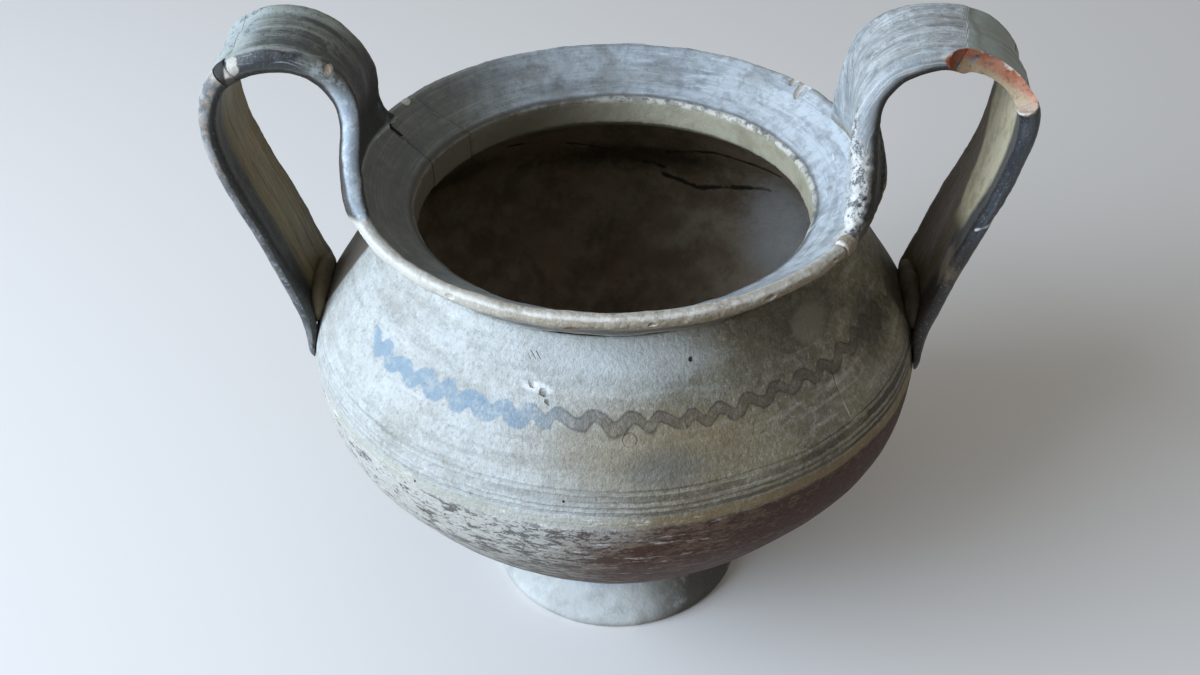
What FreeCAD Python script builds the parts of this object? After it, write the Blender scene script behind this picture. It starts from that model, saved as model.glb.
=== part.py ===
"""A footed drinking cup with two high strap handles, as its potter joined it and a mender rebuilt it.

The cup stands on z = 0 with its wheel axis on Z, and its handles lie along X.
Every length is in millimetres and has its name in the table of sizes below.
"""
import FreeCAD
import Part
import Sketcher
from math import asin, atan2, cos, degrees, hypot, radians, sin, sqrt
import os

# Sizes of the foot
SIZES = [
    ("foot_radius", 34.8, "resting edge of the foot, outside"),
    ("foot_height", 17.0, "from the ground to the flat joint under the bowl"),
    ("foot_toe_height", 3.2, "upright edge at the bottom of the foot"),
    ("foot_ring_width", 7.0, "width of the ring that the cup rests on"),
    ("foot_hollow_depth", 8.5, "hollow under the foot"),
    ("foot_hollow_top_radius", 19.0, "flat top of that hollow"),
    ("joint_radius", 26.0, "flat joint between foot and bowl"),
    # Sizes of the bowl
    ("bowl_wall", 4.2, "thickness of the thrown wall"),
    ("bowl_floor", 6.0, "thickness of the floor over the joint"),
    ("turn_inset", 2.0, "from the widest line back in, where the lower wall turns upright"),
    ("turn_rise", 49.5, "from the joint up to that turn"),
    ("belly_rise", 13.5, "from the turn up to the widest line"),
    ("shoulder_run", 17.7, "how far the sloping shoulder runs out, from the neck to the round belly"),
    ("shoulder_inset", 4.5, "from there out to the widest line"),
    ("shoulder_rise", 12.0, "from the widest line up to there"),
    ("neck_rise", 23.4, "up the sloping shoulder to the underside of the rim"),
    # Sizes of the rim
    ("mouth_radius", 47.2, "sharp edge where the flare meets the neck"),
    ("neck_wall", 3.1, "thickness of the short upright neck"),
    ("seat_width", 2.9, "sloping seat of the rim on the shoulder, measured outwards"),
    ("mouth_rise", 1.1, "from the shoulder's upper edge up to the sharp edge of the mouth"),
    ("neck_depth", 7.0, "how far the neck hangs below the mouth edge"),
    ("flare_width", 14.8, "from the mouth edge out to the lip"),
    ("flare_rise", 9.8, "from the mouth edge up to the top of the lip"),
    ("lip_thickness", 3.4, "thickness of the rolled lip"),
    # Sizes of the clay worked into the joints
    ("neck_coil_reach", 3.6, "coil pressed into the corner inside the neck"),
    ("neck_coil_inset", 0.8, "how far the coil stays back from the neck's inner face"),
    ("foot_coil_radius", 2.0, "coil pressed round the joint of foot and bowl"),
    ("wad_width", 26.0, "wad pressed behind the lower end of a handle"),
    ("wad_height", 11.0, "height of that wad"),
    ("wad_depth", 5.4, "depth of that wad, from the wall outwards"),
    # Sizes of the handles
    ("left_width", 26.4, "the left strap on its outer leg"),
    ("right_width", 28.6, "the right strap on its outer leg"),
    ("strap_thickness", 4.8, "a strap at its rolled edges"),
    ("left_rise", 31.5, "middle of the left strap at the crown, above the lip"),
    ("left_reach", 13.9, "middle of the left strap beyond the widest line of the bowl"),
    ("right_rise", 32.2, "middle of the right strap at the crown, above the lip"),
    ("right_reach", 13.8, "middle of the right strap beyond the widest line of the bowl"),
    ("landing_rise", 6.2, "from the widest line up to where a handle runs out on the belly"),
    ("strap_bury", 1.8, "how deep the strap's edges are sunk into the wall there"),
    # Sizes of the mends
    ("left_fill_length", 2.8, "plaster in the chipped edge of the left handle"),
    ("left_fill_width", 4.4, "how far that plaster reaches in from the edge"),
    ("right_fill_length", 1.6, "plaster bed between two fragments of the right handle"),
    ("rim_fill_length", 3.4, "plaster lump in the lip"),
    ("rim_fill_gap", 3.6, "bare lip between the right handle's root and that lump"),
    ("rim_fill_bulge", 0.4, "how far that lump stands proud of the lip"),
    ("overrun", 20.0, "how far a cutting shape runs past what it cuts"),
]

# Directions seen from above, in degrees from +X
LEFT_HANDLE_ANGLE = 182.0
RIGHT_HANDLE_ANGLE = -2.0
SHERD_FIRST_ANGLE = 163.0
SHERD_LAST_LIP_ANGLE = 151.0
SHERD_LAST_MOUTH_ANGLE = 142.6

# Shares of a named size: where a break runs on, and how the clay and plaster sit
BREAK_OVERRUN_SHARE = 0.5
COIL_BEDDING_SHARE = 0.4
FOOT_COIL_OUT_SHARE = 0.35
SHOULDER_WALL_SHARES = (0.90, 0.35)
TURN_WALL_SHARE = 0.35
FLOOR_SHARE = 0.55
LUMP_BLOCK_SHARE = 2.0
WAD_BEDDING_SHARE = 0.45
WAD_LIFT_SHARE = 0.36

# How much each stretch of an outline bows out, as a share of its length
FOOT_FLARE_BOW_SHARE = -0.10
LOWER_WALL_BOW_SHARE = 0.064
UPRIGHT_WALL_BOW_SHARE = 0.035
SHOULDER_BOW_SHARE = 0.09
UPPER_SHOULDER_BOW_SHARE = 0.012
LIP_BOW_SHARE = 0.5
NECK_COIL_BOW_SHARE = 0.08

# Each strap from the lip over the crown: shares of its reach and its rise, then its width and
# thickness beside the named ones, how closely it follows the round lip, and how far it leans
# sideways as a share of its width
LEFT_RISING_SHARES = [
    (-0.223, -0.092, 1.90, 0.42, -1.00, 0.09),
    (-0.127, 0.038, 1.74, 1.08, -1.00, 0.12),
    (-0.093, 0.149, 1.55, 1.10, -0.90, 0.11),
    (-0.082, 0.308, 1.34, 1.06, -0.70, 0.07),
    (-0.093, 0.467, 1.17, 1.02, -0.45, 0.01),
    (-0.080, 0.620, 1.01, 1.10, -0.20, -0.02),
    (-0.014, 0.755, 0.91, 1.24, 0.00, -0.02),
    (0.085, 0.870, 0.91, 1.34, 0.00, -0.01),
    (0.244, 0.970, 0.94, 1.38, 0.00, 0.01),
    (0.430, 1.004, 0.97, 1.34, 0.00, 0.02),
    (0.600, 0.985, 1.01, 1.24, 0.00, 0.00),
    (0.730, 0.935, 1.03, 1.12, 0.00, -0.02),
    (0.890, 0.812, 1.05, 0.97, 0.00, -0.05),
    (0.987, 0.600, 1.06, 0.87, 0.00, -0.07),
    (1.000, 0.381, 1.07, 0.83, 0.00, -0.07),
]
RIGHT_RISING_SHARES = [
    (-0.223, -0.092, 1.86, 0.42, -1.00, 0.00),
    (-0.185, 0.038, 1.75, 1.40, -1.00, 0.00),
    (-0.180, 0.149, 1.61, 1.45, -0.90, 0.00),
    (-0.180, 0.308, 1.45, 1.40, -0.70, 0.00),
    (-0.174, 0.467, 1.29, 1.30, -0.45, 0.00),
    (-0.160, 0.620, 1.17, 1.18, -0.20, 0.00),
    (-0.112, 0.775, 1.09, 1.14, 0.00, 0.01),
    (0.010, 0.908, 1.02, 1.12, 0.00, 0.01),
    (0.215, 0.994, 0.95, 1.12, 0.00, 0.01),
    (0.400, 1.008, 0.92, 1.12, 0.00, 0.02),
    (0.605, 0.968, 0.98, 1.12, 0.00, 0.03),
    (0.830, 0.868, 1.06, 1.06, 0.00, 0.04),
    (0.975, 0.730, 1.10, 0.98, 0.00, 0.05),
    (1.022, 0.562, 1.12, 0.90, 0.00, 0.05),
    (1.004, 0.405, 1.13, 0.84, 0.00, 0.05),
]
# The outer leg down to the belly: shares of the way in and the way down, then width, thickness and
# how closely it follows the round belly; the sideways lean fades out on the way
FALLING_SHARES = [
    (0.060, 0.110, 1.06, 0.80, 0.00),
    (0.275, 0.320, 1.06, 0.76, 0.00),
    (0.550, 0.540, 1.09, 0.75, 0.10),
    (0.815, 0.790, 1.12, 0.76, 0.40),
    (0.945, 0.910, 1.16, 0.76, 0.70),
    (1.000, 1.000, 1.27, 0.66, 1.00),
    (1.200, 1.120, 1.30, 0.34, 1.00),
]
# Which row of its table each break runs through, counted from the first row
LEFT_BREAK_ROW_COUNT = 11
RIGHT_FIRST_BREAK_ROW_COUNT = 10
RIGHT_SECOND_BREAK_ROW_COUNT = 12

# Half thickness across the strap: rolled edge, shallow channel, low rib along the middle
STRAP_FACE_SHARES = [(-1.00, 1.00), (-0.55, 0.74), (0.00, 0.90), (0.55, 0.74), (1.00, 1.00)]


class Size:
    """A length together with the sheet formula that gives it."""

    def __init__(self, value, formula):
        self.value = value
        self.formula = formula

    def __add__(self, other):
        return Size(self.value + other.value, "(%s + %s)" % (self.formula, other.formula))

    def __sub__(self, other):
        return Size(self.value - other.value, "(%s - %s)" % (self.formula, other.formula))

    def __mul__(self, share):
        return Size(self.value * share, "(%s * (%.9f))" % (self.formula, share))


def fill_sheet(document):
    """Write the sizes into the sheet, and give each back as a Size."""
    sheet = document.addObject("Spreadsheet::Sheet", "sizes")
    named = {}
    for row, (alias, value, meaning) in enumerate(SIZES, start=1):
        sheet.set("A%d" % row, alias)
        sheet.set("B%d" % row, str(value))
        sheet.setAlias("B%d" % row, alias)
        sheet.set("C%d" % row, meaning)
        named[alias] = Size(value, "sizes." + alias)
    document.recompute()
    return named


def add_worked_out_sizes(size):
    """The radii from the mouth outwards, and the heights from the ground up."""
    size["seat_radius"] = size["mouth_radius"] + size["neck_wall"]
    size["neck_radius"] = size["seat_radius"] + size["seat_width"]
    size["shoulder_radius"] = size["neck_radius"] + size["shoulder_run"]
    size["belly_radius"] = size["shoulder_radius"] + size["shoulder_inset"]
    size["turn_radius"] = size["belly_radius"] - size["turn_inset"]
    size["turn_height"] = size["foot_height"] + size["turn_rise"]
    size["belly_height"] = size["turn_height"] + size["belly_rise"]
    size["shoulder_height"] = size["belly_height"] + size["shoulder_rise"]
    size["neck_height"] = size["shoulder_height"] + size["neck_rise"]
    size["mouth_height"] = size["neck_height"] + size["mouth_rise"]
    size["rim_radius"] = size["mouth_radius"] + size["flare_width"]
    size["rim_height"] = size["mouth_height"] + size["flare_rise"]
    size["strap_landing"] = size["belly_height"] + size["landing_rise"]


def origin_plane(body, role):
    """The plane of the body's own origin that has this role."""
    return [plane for plane in body.Origin.OriginFeatures if plane.Role == role][0]


def hold(sketch, geometry, point, across, up):
    """Pin a point of the sketch at two sizes, or on an axis where a size is None."""
    for kind, axis, size in (("DistanceX", -2, across), ("DistanceY", -1, up)):
        if size is None:
            sketch.addConstraint(Sketcher.Constraint("PointOnObject", geometry, point, axis))
        else:
            number = sketch.addConstraint(
                Sketcher.Constraint(kind, -1, 1, geometry, point, size.value))
            sketch.setExpression("Constraints[%d]" % number, size.formula)


def outline(body, name, role, corners, bows=None):
    """Draw a closed outline through the corners; the stretch after a corner with a bow is an arc."""
    sketch = body.newObject("Sketcher::SketchObject", name)
    sketch.AttachmentSupport = (origin_plane(body, role), [""])
    sketch.MapMode = "FlatFace"
    bows = bows or [None] * len(corners)
    ends = []
    for index, (across, up) in enumerate(corners):
        next_across, next_up = corners[(index + 1) % len(corners)]
        start = FreeCAD.Vector(across.value if across else 0, up.value if up else 0, 0)
        end = FreeCAD.Vector(next_across.value if next_across else 0, next_up.value if next_up else 0, 0)
        bow = bows[index]
        if bow is None:
            geometry = sketch.addGeometry(Part.LineSegment(start, end), False)
            first, last = 1, 2
        else:
            nil = across * 0
            middle_across = (across + (next_across or nil)) * 0.5 + (next_up - up) * bow
            middle_up = (up + next_up) * 0.5 - ((next_across or nil) - across) * bow
            middle = FreeCAD.Vector(middle_across.value, middle_up.value, 0)
            if bow > 0:
                geometry = sketch.addGeometry(Part.Arc(start, middle, end), False)
                first, last = 1, 2
            else:
                geometry = sketch.addGeometry(Part.Arc(end, middle, start), False)
                first, last = 2, 1
            guide = sketch.addGeometry(Part.Point(middle), True)
            hold(sketch, guide, 1, middle_across, middle_up)
            sketch.addConstraint(Sketcher.Constraint("PointOnObject", guide, 1, geometry))
        hold(sketch, geometry, first, across, up)
        ends.append((geometry, first, last))
    for index, (geometry, first, last) in enumerate(ends):
        before, before_first, before_last = ends[index - 1]
        sketch.addConstraint(Sketcher.Constraint("Coincident", before, before_last, geometry, first))
    return sketch


def turned_body(document, name, corners, bows=None):
    """A piece thrown on the wheel: its outline turned once round the Z axis."""
    body = document.addObject("PartDesign::Body", name)
    sketch = outline(body, name + "_outline", "XZ_Plane", corners, bows)
    turning = body.newObject("PartDesign::Revolution", name + "_turning")
    turning.Profile = (sketch, [""])
    turning.ReferenceAxis = (sketch, ["V_Axis"])
    turning.Angle = 360
    sketch.Visibility = False
    return body


def padded_body(document, name, corners, height):
    """An upright block over a flat outline, used to part the rim along its breaks."""
    body = document.addObject("PartDesign::Body", name)
    sketch = outline(body, name + "_outline", "XY_Plane", corners)
    pad = body.newObject("PartDesign::Pad", name + "_pad")
    pad.Profile = (sketch, [""])
    pad.Length = height.value
    pad.setExpression("Length", height.formula)
    return body


def combine(document, kind, name, base, tool):
    """A boolean of two objects: kind is Part::Cut, Part::Common or Part::Fuse."""
    result = document.addObject(kind, name)
    result.Base = base
    result.Tool = tool
    return result


def ring(document, name, radius, height, thickness):
    """A round coil of clay about the wheel axis."""
    coil = document.addObject("Part::Torus", name)
    coil.Radius1 = radius.value
    coil.setExpression("Radius1", radius.formula)
    coil.Radius2 = thickness.value
    coil.setExpression("Radius2", thickness.formula)
    coil.Placement.Base.z = height.value
    coil.setExpression("Placement.Base.z", height.formula)
    return coil


def along(angle, radius):
    """The two sizes of a point at this distance and direction from the axis."""
    return radius * cos(radians(angle)), radius * sin(radians(angle))


def make_foot(document, size):
    """The low conical foot, hollow underneath, with its luting coil."""
    ring_inner = size["foot_radius"] - size["foot_ring_width"]
    corners = [
        (ring_inner, None),
        (size["foot_radius"], None),
        (size["foot_radius"], size["foot_toe_height"]),
        (size["joint_radius"], size["foot_height"]),
        (None, size["foot_height"]),
        (None, size["foot_hollow_depth"]),
        (size["foot_hollow_top_radius"], size["foot_hollow_depth"]),
    ]
    bows = [None, None, FOOT_FLARE_BOW_SHARE, None, None, None, None]
    return turned_body(document, "foot", corners, bows)


def bowl_outside(size):
    """Corners and bows of the bowl's outer side, from the joint up to the neck."""
    corners = [
        (size["joint_radius"], size["foot_height"]),
        (size["turn_radius"], size["turn_height"]),
        (size["belly_radius"], size["belly_height"]),
        (size["shoulder_radius"], size["shoulder_height"]),
        (size["neck_radius"], size["neck_height"]),
    ]
    bows = [LOWER_WALL_BOW_SHARE, UPRIGHT_WALL_BOW_SHARE, SHOULDER_BOW_SHARE, UPPER_SHOULDER_BOW_SHARE, None]
    return corners, bows


def seat_inner_edge(size):
    """The inner end of the sloping seat that carries the rim."""
    slope = size["flare_rise"].value / size["flare_width"].value
    return size["seat_radius"], size["neck_height"] - size["seat_width"] * slope


def make_bowl(document, size):
    """The thrown bowl: round below, upright at the belly, drawn in to the neck."""
    outside, bows = bowl_outside(size)
    wall = size["bowl_wall"]
    inside = [
        seat_inner_edge(size),
        (size["shoulder_radius"] - wall * SHOULDER_WALL_SHARES[0],
         size["shoulder_height"] - wall * SHOULDER_WALL_SHARES[1]),
        (size["belly_radius"] - wall, size["belly_height"]),
        (size["turn_radius"] - wall, size["turn_height"] + wall * TURN_WALL_SHARE),
        (size["joint_radius"] * FLOOR_SHARE, size["foot_height"] + size["bowl_floor"]),
        (None, size["foot_height"] + size["bowl_floor"]),
    ]
    inside_bows = [-UPPER_SHOULDER_BOW_SHARE, -SHOULDER_BOW_SHARE, -UPRIGHT_WALL_BOW_SHARE,
                   -LOWER_WALL_BOW_SHARE, None, None]
    corners = [(None, size["foot_height"])] + outside + inside
    return turned_body(document, "bowl", corners, [None] + bows + inside_bows)


def make_solid_pot(document, size):
    """The bowl and rim as one filled block, to cut the handles to their shape."""
    outside, bows = bowl_outside(size)
    corners = [(None, size["foot_height"])] + outside + rim_outside(size)[::-1] + [
        (size["mouth_radius"], size["mouth_height"]),
        (None, size["mouth_height"]),
    ]
    return turned_body(document, "solid_pot", corners, [None] + bows + [LIP_BOW_SHARE, None, None, None])


def rim_outside(size):
    """The two ends of the rolled lip: on the flare, then underneath."""
    radius = size["lip_thickness"] * 0.5
    flare = atan2(size["flare_rise"].value, size["flare_width"].value)
    centre_across = size["rim_radius"] - radius
    centre_up = size["rim_height"] - radius
    above = (centre_across - radius * sin(flare), centre_up + radius * cos(flare))
    below = (centre_across + radius * sin(flare), centre_up - radius * cos(flare))
    return [above, below]


def make_collar(document, size):
    """The short neck with its flaring rim, thrown apart and set on the shoulder."""
    above, below = rim_outside(size)
    neck_bottom = size["mouth_height"] - size["neck_depth"]
    seat_across, seat_up = seat_inner_edge(size)
    corners = [
        (size["mouth_radius"], neck_bottom),
        (seat_across, neck_bottom),
        (seat_across, seat_up),
        (size["neck_radius"], size["neck_height"]),
        below,
        above,
        (size["mouth_radius"], size["mouth_height"]),
    ]
    bows = [None, None, None, None, LIP_BOW_SHARE, None, None]
    return turned_body(document, "collar", corners, bows)


def break_line(size, angle_at_mouth, angle_at_lip):
    """A straight break through the rim, run on past the mouth and past the lip."""
    mouth_across, mouth_up = along(angle_at_mouth, size["mouth_radius"])
    lip_across, lip_up = along(angle_at_lip, size["rim_radius"])
    step_across = lip_across - mouth_across
    step_up = lip_up - mouth_up
    return [
        (mouth_across - step_across * BREAK_OVERRUN_SHARE, mouth_up - step_up * BREAK_OVERRUN_SHARE),
        (lip_across + step_across * BREAK_OVERRUN_SHARE, lip_up + step_up * BREAK_OVERRUN_SHARE),
    ]


def make_rim_pieces(document, size, collar):
    """Part the rim along its breaks: the rim, the sherd set back in, and the plaster lump."""
    outer = size["rim_radius"] + size["overrun"]
    top = size["rim_height"] + size["overrun"]
    first = break_line(size, SHERD_FIRST_ANGLE, SHERD_FIRST_ANGLE)
    last = break_line(size, SHERD_LAST_MOUTH_ANGLE, SHERD_LAST_LIP_ANGLE)
    sherd_block = padded_body(document, "sherd_block", first[::-1] + last, top)
    sherd = combine(document, "Part::Common", "rim_sherd", collar, sherd_block)
    parted = combine(document, "Part::Cut", "rim_without_sherd", collar, sherd_block)
    lip = size["lip_thickness"] * 0.5
    lump_ring = ring(document, "lump_ring", size["rim_radius"] - lip, size["rim_height"] - lip,
                     lip + size["rim_fill_bulge"])
    root_half = size["right_width"].value * 0.5 * max(row[2] for row in RIGHT_RISING_SHARES)
    gap = size["rim_fill_gap"].value
    length = size["rim_fill_length"].value
    near_turn = RIGHT_HANDLE_ANGLE - degrees(asin((root_half + gap) / size["rim_radius"].value))
    far_turn = RIGHT_HANDLE_ANGLE - degrees(asin((root_half + gap + length) / size["rim_radius"].value))
    inside = size["rim_radius"] - size["lip_thickness"] * LUMP_BLOCK_SHARE
    lump_block = padded_body(document, "lump_block", [
        along(far_turn, inside),
        along(far_turn, outer),
        along(near_turn, outer),
        along(near_turn, inside),
    ], top)
    lump = combine(document, "Part::Common", "rim_fill", lump_ring, lump_block)
    rim = combine(document, "Part::Cut", "rim", parted, lump)
    return [rim, sherd, lump]


def make_neck_coil(document, size, bowl, collar):
    """The clay coil that seals the corner between the neck and the shoulder, seen only from inside."""
    seat_across, seat_up = seat_inner_edge(size)
    neck_bottom = size["mouth_height"] - size["neck_depth"]
    inner = size["mouth_radius"] + size["neck_coil_inset"]
    reach = size["neck_coil_reach"]
    body = turned_body(document, "coil_blank", [
        (inner, neck_bottom),
        (seat_across + reach, neck_bottom - reach),
        (seat_across + reach + size["seat_width"] * COIL_BEDDING_SHARE, neck_bottom),
        (seat_across + size["seat_width"] * COIL_BEDDING_SHARE, seat_up),
        (inner, seat_up),
    ], [NECK_COIL_BOW_SHARE, None, None, None, None])
    fitted = combine(document, "Part::Cut", "coil_under_shoulder", body, bowl)
    return combine(document, "Part::Cut", "neck_luting", fitted, collar)


def make_foot_coil(document, size, bowl, foot):
    """The clay worked round the joint of foot and bowl."""
    coil = ring(document, "foot_coil", size["joint_radius"] + size["foot_coil_radius"] * FOOT_COIL_OUT_SHARE,
                size["foot_height"], size["foot_coil_radius"])
    fitted = combine(document, "Part::Cut", "coil_under_bowl", coil, bowl)
    return combine(document, "Part::Cut", "foot_luting", fitted, foot)


def strap_stations(size, side, rising_shares):
    """Points along the edges of a strap, in its own upright plane, each with its section."""
    lip = size["lip_thickness"].value / 2
    root_across = size["rim_radius"].value - lip
    root_up = size["rim_height"].value
    reach = size["belly_radius"].value + size[side + "_reach"].value - root_across
    rise = size[side + "_rise"].value
    width = size[side + "_width"].value / 2
    thickness = size["strap_thickness"].value
    stations = []
    for across, up, wide, thick, follow, aside in rising_shares:
        place = (root_across + across * reach, root_up + up * rise)
        stations.append((place, wide * width, thick * thickness, follow, root_across, aside * width))
    outer_across, outer_up = stations[-1][0]
    end_across = size["belly_radius"].value - size["strap_bury"].value
    end_up = size["strap_landing"].value
    for inward, down, wide, thick, follow in FALLING_SHARES:
        place = (outer_across + inward * (end_across - outer_across),
                 outer_up + down * (end_up - outer_up))
        stations.append((place, wide * width, thick * thickness, follow, size["belly_radius"].value,
                         aside * max(1 - down, 0) * width))
    return stations


def strap_section(stations, index, shift=0.0):
    """The closed outline of the strap at one station, square to its middle line."""
    (across, up), half_width, thickness, follow, round_radius, aside = stations[index]
    before = stations[max(index - 1, 0)][0]
    after = stations[min(index + 1, len(stations) - 1)][0]
    run = hypot(after[0] - before[0], after[1] - before[1])
    forward = FreeCAD.Vector((after[0] - before[0]) / run, 0, (after[1] - before[1]) / run)
    outward = FreeCAD.Vector(-forward.z, 0, forward.x)
    sideways = FreeCAD.Vector(0, 1, 0)
    sagitta = follow * (round_radius - sqrt(round_radius ** 2 - half_width ** 2))
    middle = FreeCAD.Vector(across, aside, up) + forward * shift + outward * sagitta
    flat_width = half_width - thickness / 2

    def point(side_share, lift):
        bend = -sagitta * side_share ** 2
        return middle + sideways * (side_share * flat_width) + outward * (bend + lift)

    faces = []
    for face in (1, -1):
        curve = Part.BSplineCurve()
        curve.interpolate([point(share, face * lift * thickness / 2)
                           for share, lift in STRAP_FACE_SHARES])
        faces.append(curve.toShape())
    caps = []
    for end in (1, -1):
        tip = point(end, 0) + sideways * (end * thickness / 2)
        caps.append(Part.Arc(point(end, thickness / 2), tip, point(end, -thickness / 2)).toShape())
    return Part.Wire(Part.__sortEdges__([faces[0], caps[0], faces[1], caps[1]]))


def strap_piece(document, name, stations, first, last, angle, shift=0.0):
    """A length of strap between two stations, turned to its side of the cup."""
    sections = [strap_section(stations, index) for index in range(first, last + 1)]
    if shift:
        sections[0] = strap_section(stations, first, shift)
    piece = document.addObject("Part::Feature", name)
    piece.Shape = Part.makeLoft(sections, True, False)
    piece.Placement = FreeCAD.Placement(
        FreeCAD.Vector(), FreeCAD.Rotation(FreeCAD.Vector(0, 0, 1), angle))
    return piece


def strap_slice(document, name, stations, index, length, angle):
    """A thin bed across the strap, from one station a short way on."""
    slice_piece = document.addObject("Part::Feature", name)
    slice_piece.Shape = Part.makeLoft(
        [strap_section(stations, index), strap_section(stations, index, length)], True, True)
    slice_piece.Placement = FreeCAD.Placement(
        FreeCAD.Vector(), FreeCAD.Rotation(FreeCAD.Vector(0, 0, 1), angle))
    return slice_piece


def make_wad(document, size, side, angle, solid_pot, lower):
    """The wad pressed into the corner between the wall and the lower end of a strap."""
    wad = document.addObject("Part::Ellipsoid", side + "_wad_blank")
    for axis, alias in (("Radius1", "wad_height"), ("Radius2", "wad_depth"), ("Radius3", "wad_width")):
        setattr(wad, axis, size[alias].value / 2)
        wad.setExpression(axis, (size[alias] * 0.5).formula)
    across = size["belly_radius"] - size["wad_depth"] * WAD_BEDDING_SHARE
    up = size["strap_landing"] + size["wad_height"] * WAD_LIFT_SHARE
    turn = FreeCAD.Rotation(FreeCAD.Vector(0, 0, 1), angle)
    position = FreeCAD.Vector(across.value, 0, up.value)
    wad.Placement = FreeCAD.Placement(turn.multVec(position), turn)
    against_wall = combine(document, "Part::Cut", side + "_wad_on_wall", wad, solid_pot)
    return combine(document, "Part::Cut", side + "_handle_wad", against_wall, lower)


def edge_block(document, name, size, stations, index, angle, near):
    """A block over one edge of the strap, where plaster fills a chip."""
    (across, up), half_width, thickness, follow, round_radius, aside = stations[index]
    after = stations[index + 1][0]
    lean = degrees(atan2(after[1] - up, after[0] - across))
    block = document.addObject("Part::Box", name)
    for side, alias in (("Length", "left_fill_length"), ("Width", "overrun"), ("Height", "overrun")):
        setattr(block, side, size[alias].value)
        block.setExpression(side, size[alias].formula)
    tilt = FreeCAD.Rotation(FreeCAD.Vector(0, 1, 0), -lean)
    edge = half_width + (aside if near > 0 else -aside) - size["left_fill_width"].value
    corner = FreeCAD.Vector(0, edge if near > 0 else -edge - block.Width.Value, -block.Height.Value / 2)
    turn = FreeCAD.Rotation(FreeCAD.Vector(0, 0, 1), angle)
    place = FreeCAD.Vector(across, 0, up) + tilt.multVec(corner)
    block.Placement = FreeCAD.Placement(turn.multVec(place), turn.multiply(tilt))
    return block


def make_left_handle(document, size, solid_pot):
    """The left handle: two fragments and the plaster in the chip where they meet."""
    stations = strap_stations(size, "left", LEFT_RISING_SHARES)
    last = len(stations) - 1
    angle = LEFT_HANDLE_ANGLE
    upper_blank = strap_piece(document, "left_upper_blank", stations, 0, LEFT_BREAK_ROW_COUNT, angle)
    lower_blank = strap_piece(document, "left_lower_blank", stations, LEFT_BREAK_ROW_COUNT, last, angle)
    upper = combine(document, "Part::Cut", "left_handle_upper", upper_blank, solid_pot)
    fitted = combine(document, "Part::Cut", "left_lower_fitted", lower_blank, solid_pot)
    block = edge_block(document, "left_chip", size, stations, LEFT_BREAK_ROW_COUNT, angle, 1)
    lower = combine(document, "Part::Cut", "left_handle_lower", fitted, block)
    fill = combine(document, "Part::Common", "left_handle_fill", fitted, block)
    wad = make_wad(document, size, "left", angle, solid_pot, lower_blank)
    return [upper, lower, fill, wad]


def make_right_handle(document, size, solid_pot):
    """The right handle: three fragments, the lowest bedded in plaster."""
    stations = strap_stations(size, "right", RIGHT_RISING_SHARES)
    last = len(stations) - 1
    angle = RIGHT_HANDLE_ANGLE
    bed = size["right_fill_length"].value
    upper_blank = strap_piece(document, "right_upper_blank", stations, 0, RIGHT_FIRST_BREAK_ROW_COUNT, angle)
    upper = combine(document, "Part::Cut", "right_handle_upper", upper_blank, solid_pot)
    crown = strap_piece(document, "right_handle_crown", stations, RIGHT_FIRST_BREAK_ROW_COUNT,
                        RIGHT_SECOND_BREAK_ROW_COUNT, angle)
    fill = strap_slice(document, "right_handle_fill", stations, RIGHT_SECOND_BREAK_ROW_COUNT, bed, angle)
    lower_blank = strap_piece(document, "right_lower_blank", stations, RIGHT_SECOND_BREAK_ROW_COUNT, last,
                              angle, bed)
    lower = combine(document, "Part::Cut", "right_handle_lower", lower_blank, solid_pot)
    wad = make_wad(document, size, "right", angle, solid_pot, lower_blank)
    return [upper, crown, fill, lower, wad]


def check(document, pieces):
    """Stop if any object failed or any piece has no sound solid."""
    for item in document.Objects:
        if "Invalid" in item.State or "Error" in item.State:
            raise RuntimeError("%s did not build: %s" % (item.Name, item.State))
    for piece in pieces:
        if piece.Shape.isNull() or not piece.Shape.isValid() or not piece.Shape.Solids:
            raise RuntimeError("%s has no sound solid" % piece.Label)


def main():
    document = FreeCAD.newDocument("cup")
    size = fill_sheet(document)
    add_worked_out_sizes(size)
    foot = make_foot(document, size)
    bowl = make_bowl(document, size)
    collar = make_collar(document, size)
    solid_pot = make_solid_pot(document, size)
    document.recompute()
    pieces = [foot, bowl]
    pieces.append(make_foot_coil(document, size, bowl, foot))
    pieces.append(make_neck_coil(document, size, bowl, collar))
    pieces.extend(make_rim_pieces(document, size, collar))
    pieces.extend(make_left_handle(document, size, solid_pot))
    pieces.extend(make_right_handle(document, size, solid_pot))
    document.recompute()
    check(document, pieces)
    os.makedirs("parts", exist_ok=True)
    for piece in pieces:
        piece.Shape.exportStep("parts/%s.step" % piece.Label)
        box = piece.Shape.BoundBox
        print("%-20s %2d solid %9.1f mm3  x %6.1f %6.1f  y %6.1f %6.1f  z %6.1f %6.1f" % (
            piece.Label, len(piece.Shape.Solids), piece.Shape.Volume,
            box.XMin, box.XMax, box.YMin, box.YMax, box.ZMin, box.ZMax))


main()
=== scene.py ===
# %% [markdown]
# # A mended two-handled clay cup
# A potter threw the belly, the foot and the rim apart on the wheel, joined them with wet clay, and pulled
# two flat straps for the handles. Long after, the cup broke and was put back together with plaster. This
# lesson dresses the solid model of that cup: it gives each piece its hand-made shape first, and its worn
# clay slip afterwards.
#
# Everything is in metres. The cup stands on z = 0, its wheel axis is Z, and the handles lie along X.

from math import cos, hypot, radians, sin, sqrt
from types import SimpleNamespace

import bpy
from mathutils import Matrix, Vector


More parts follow.
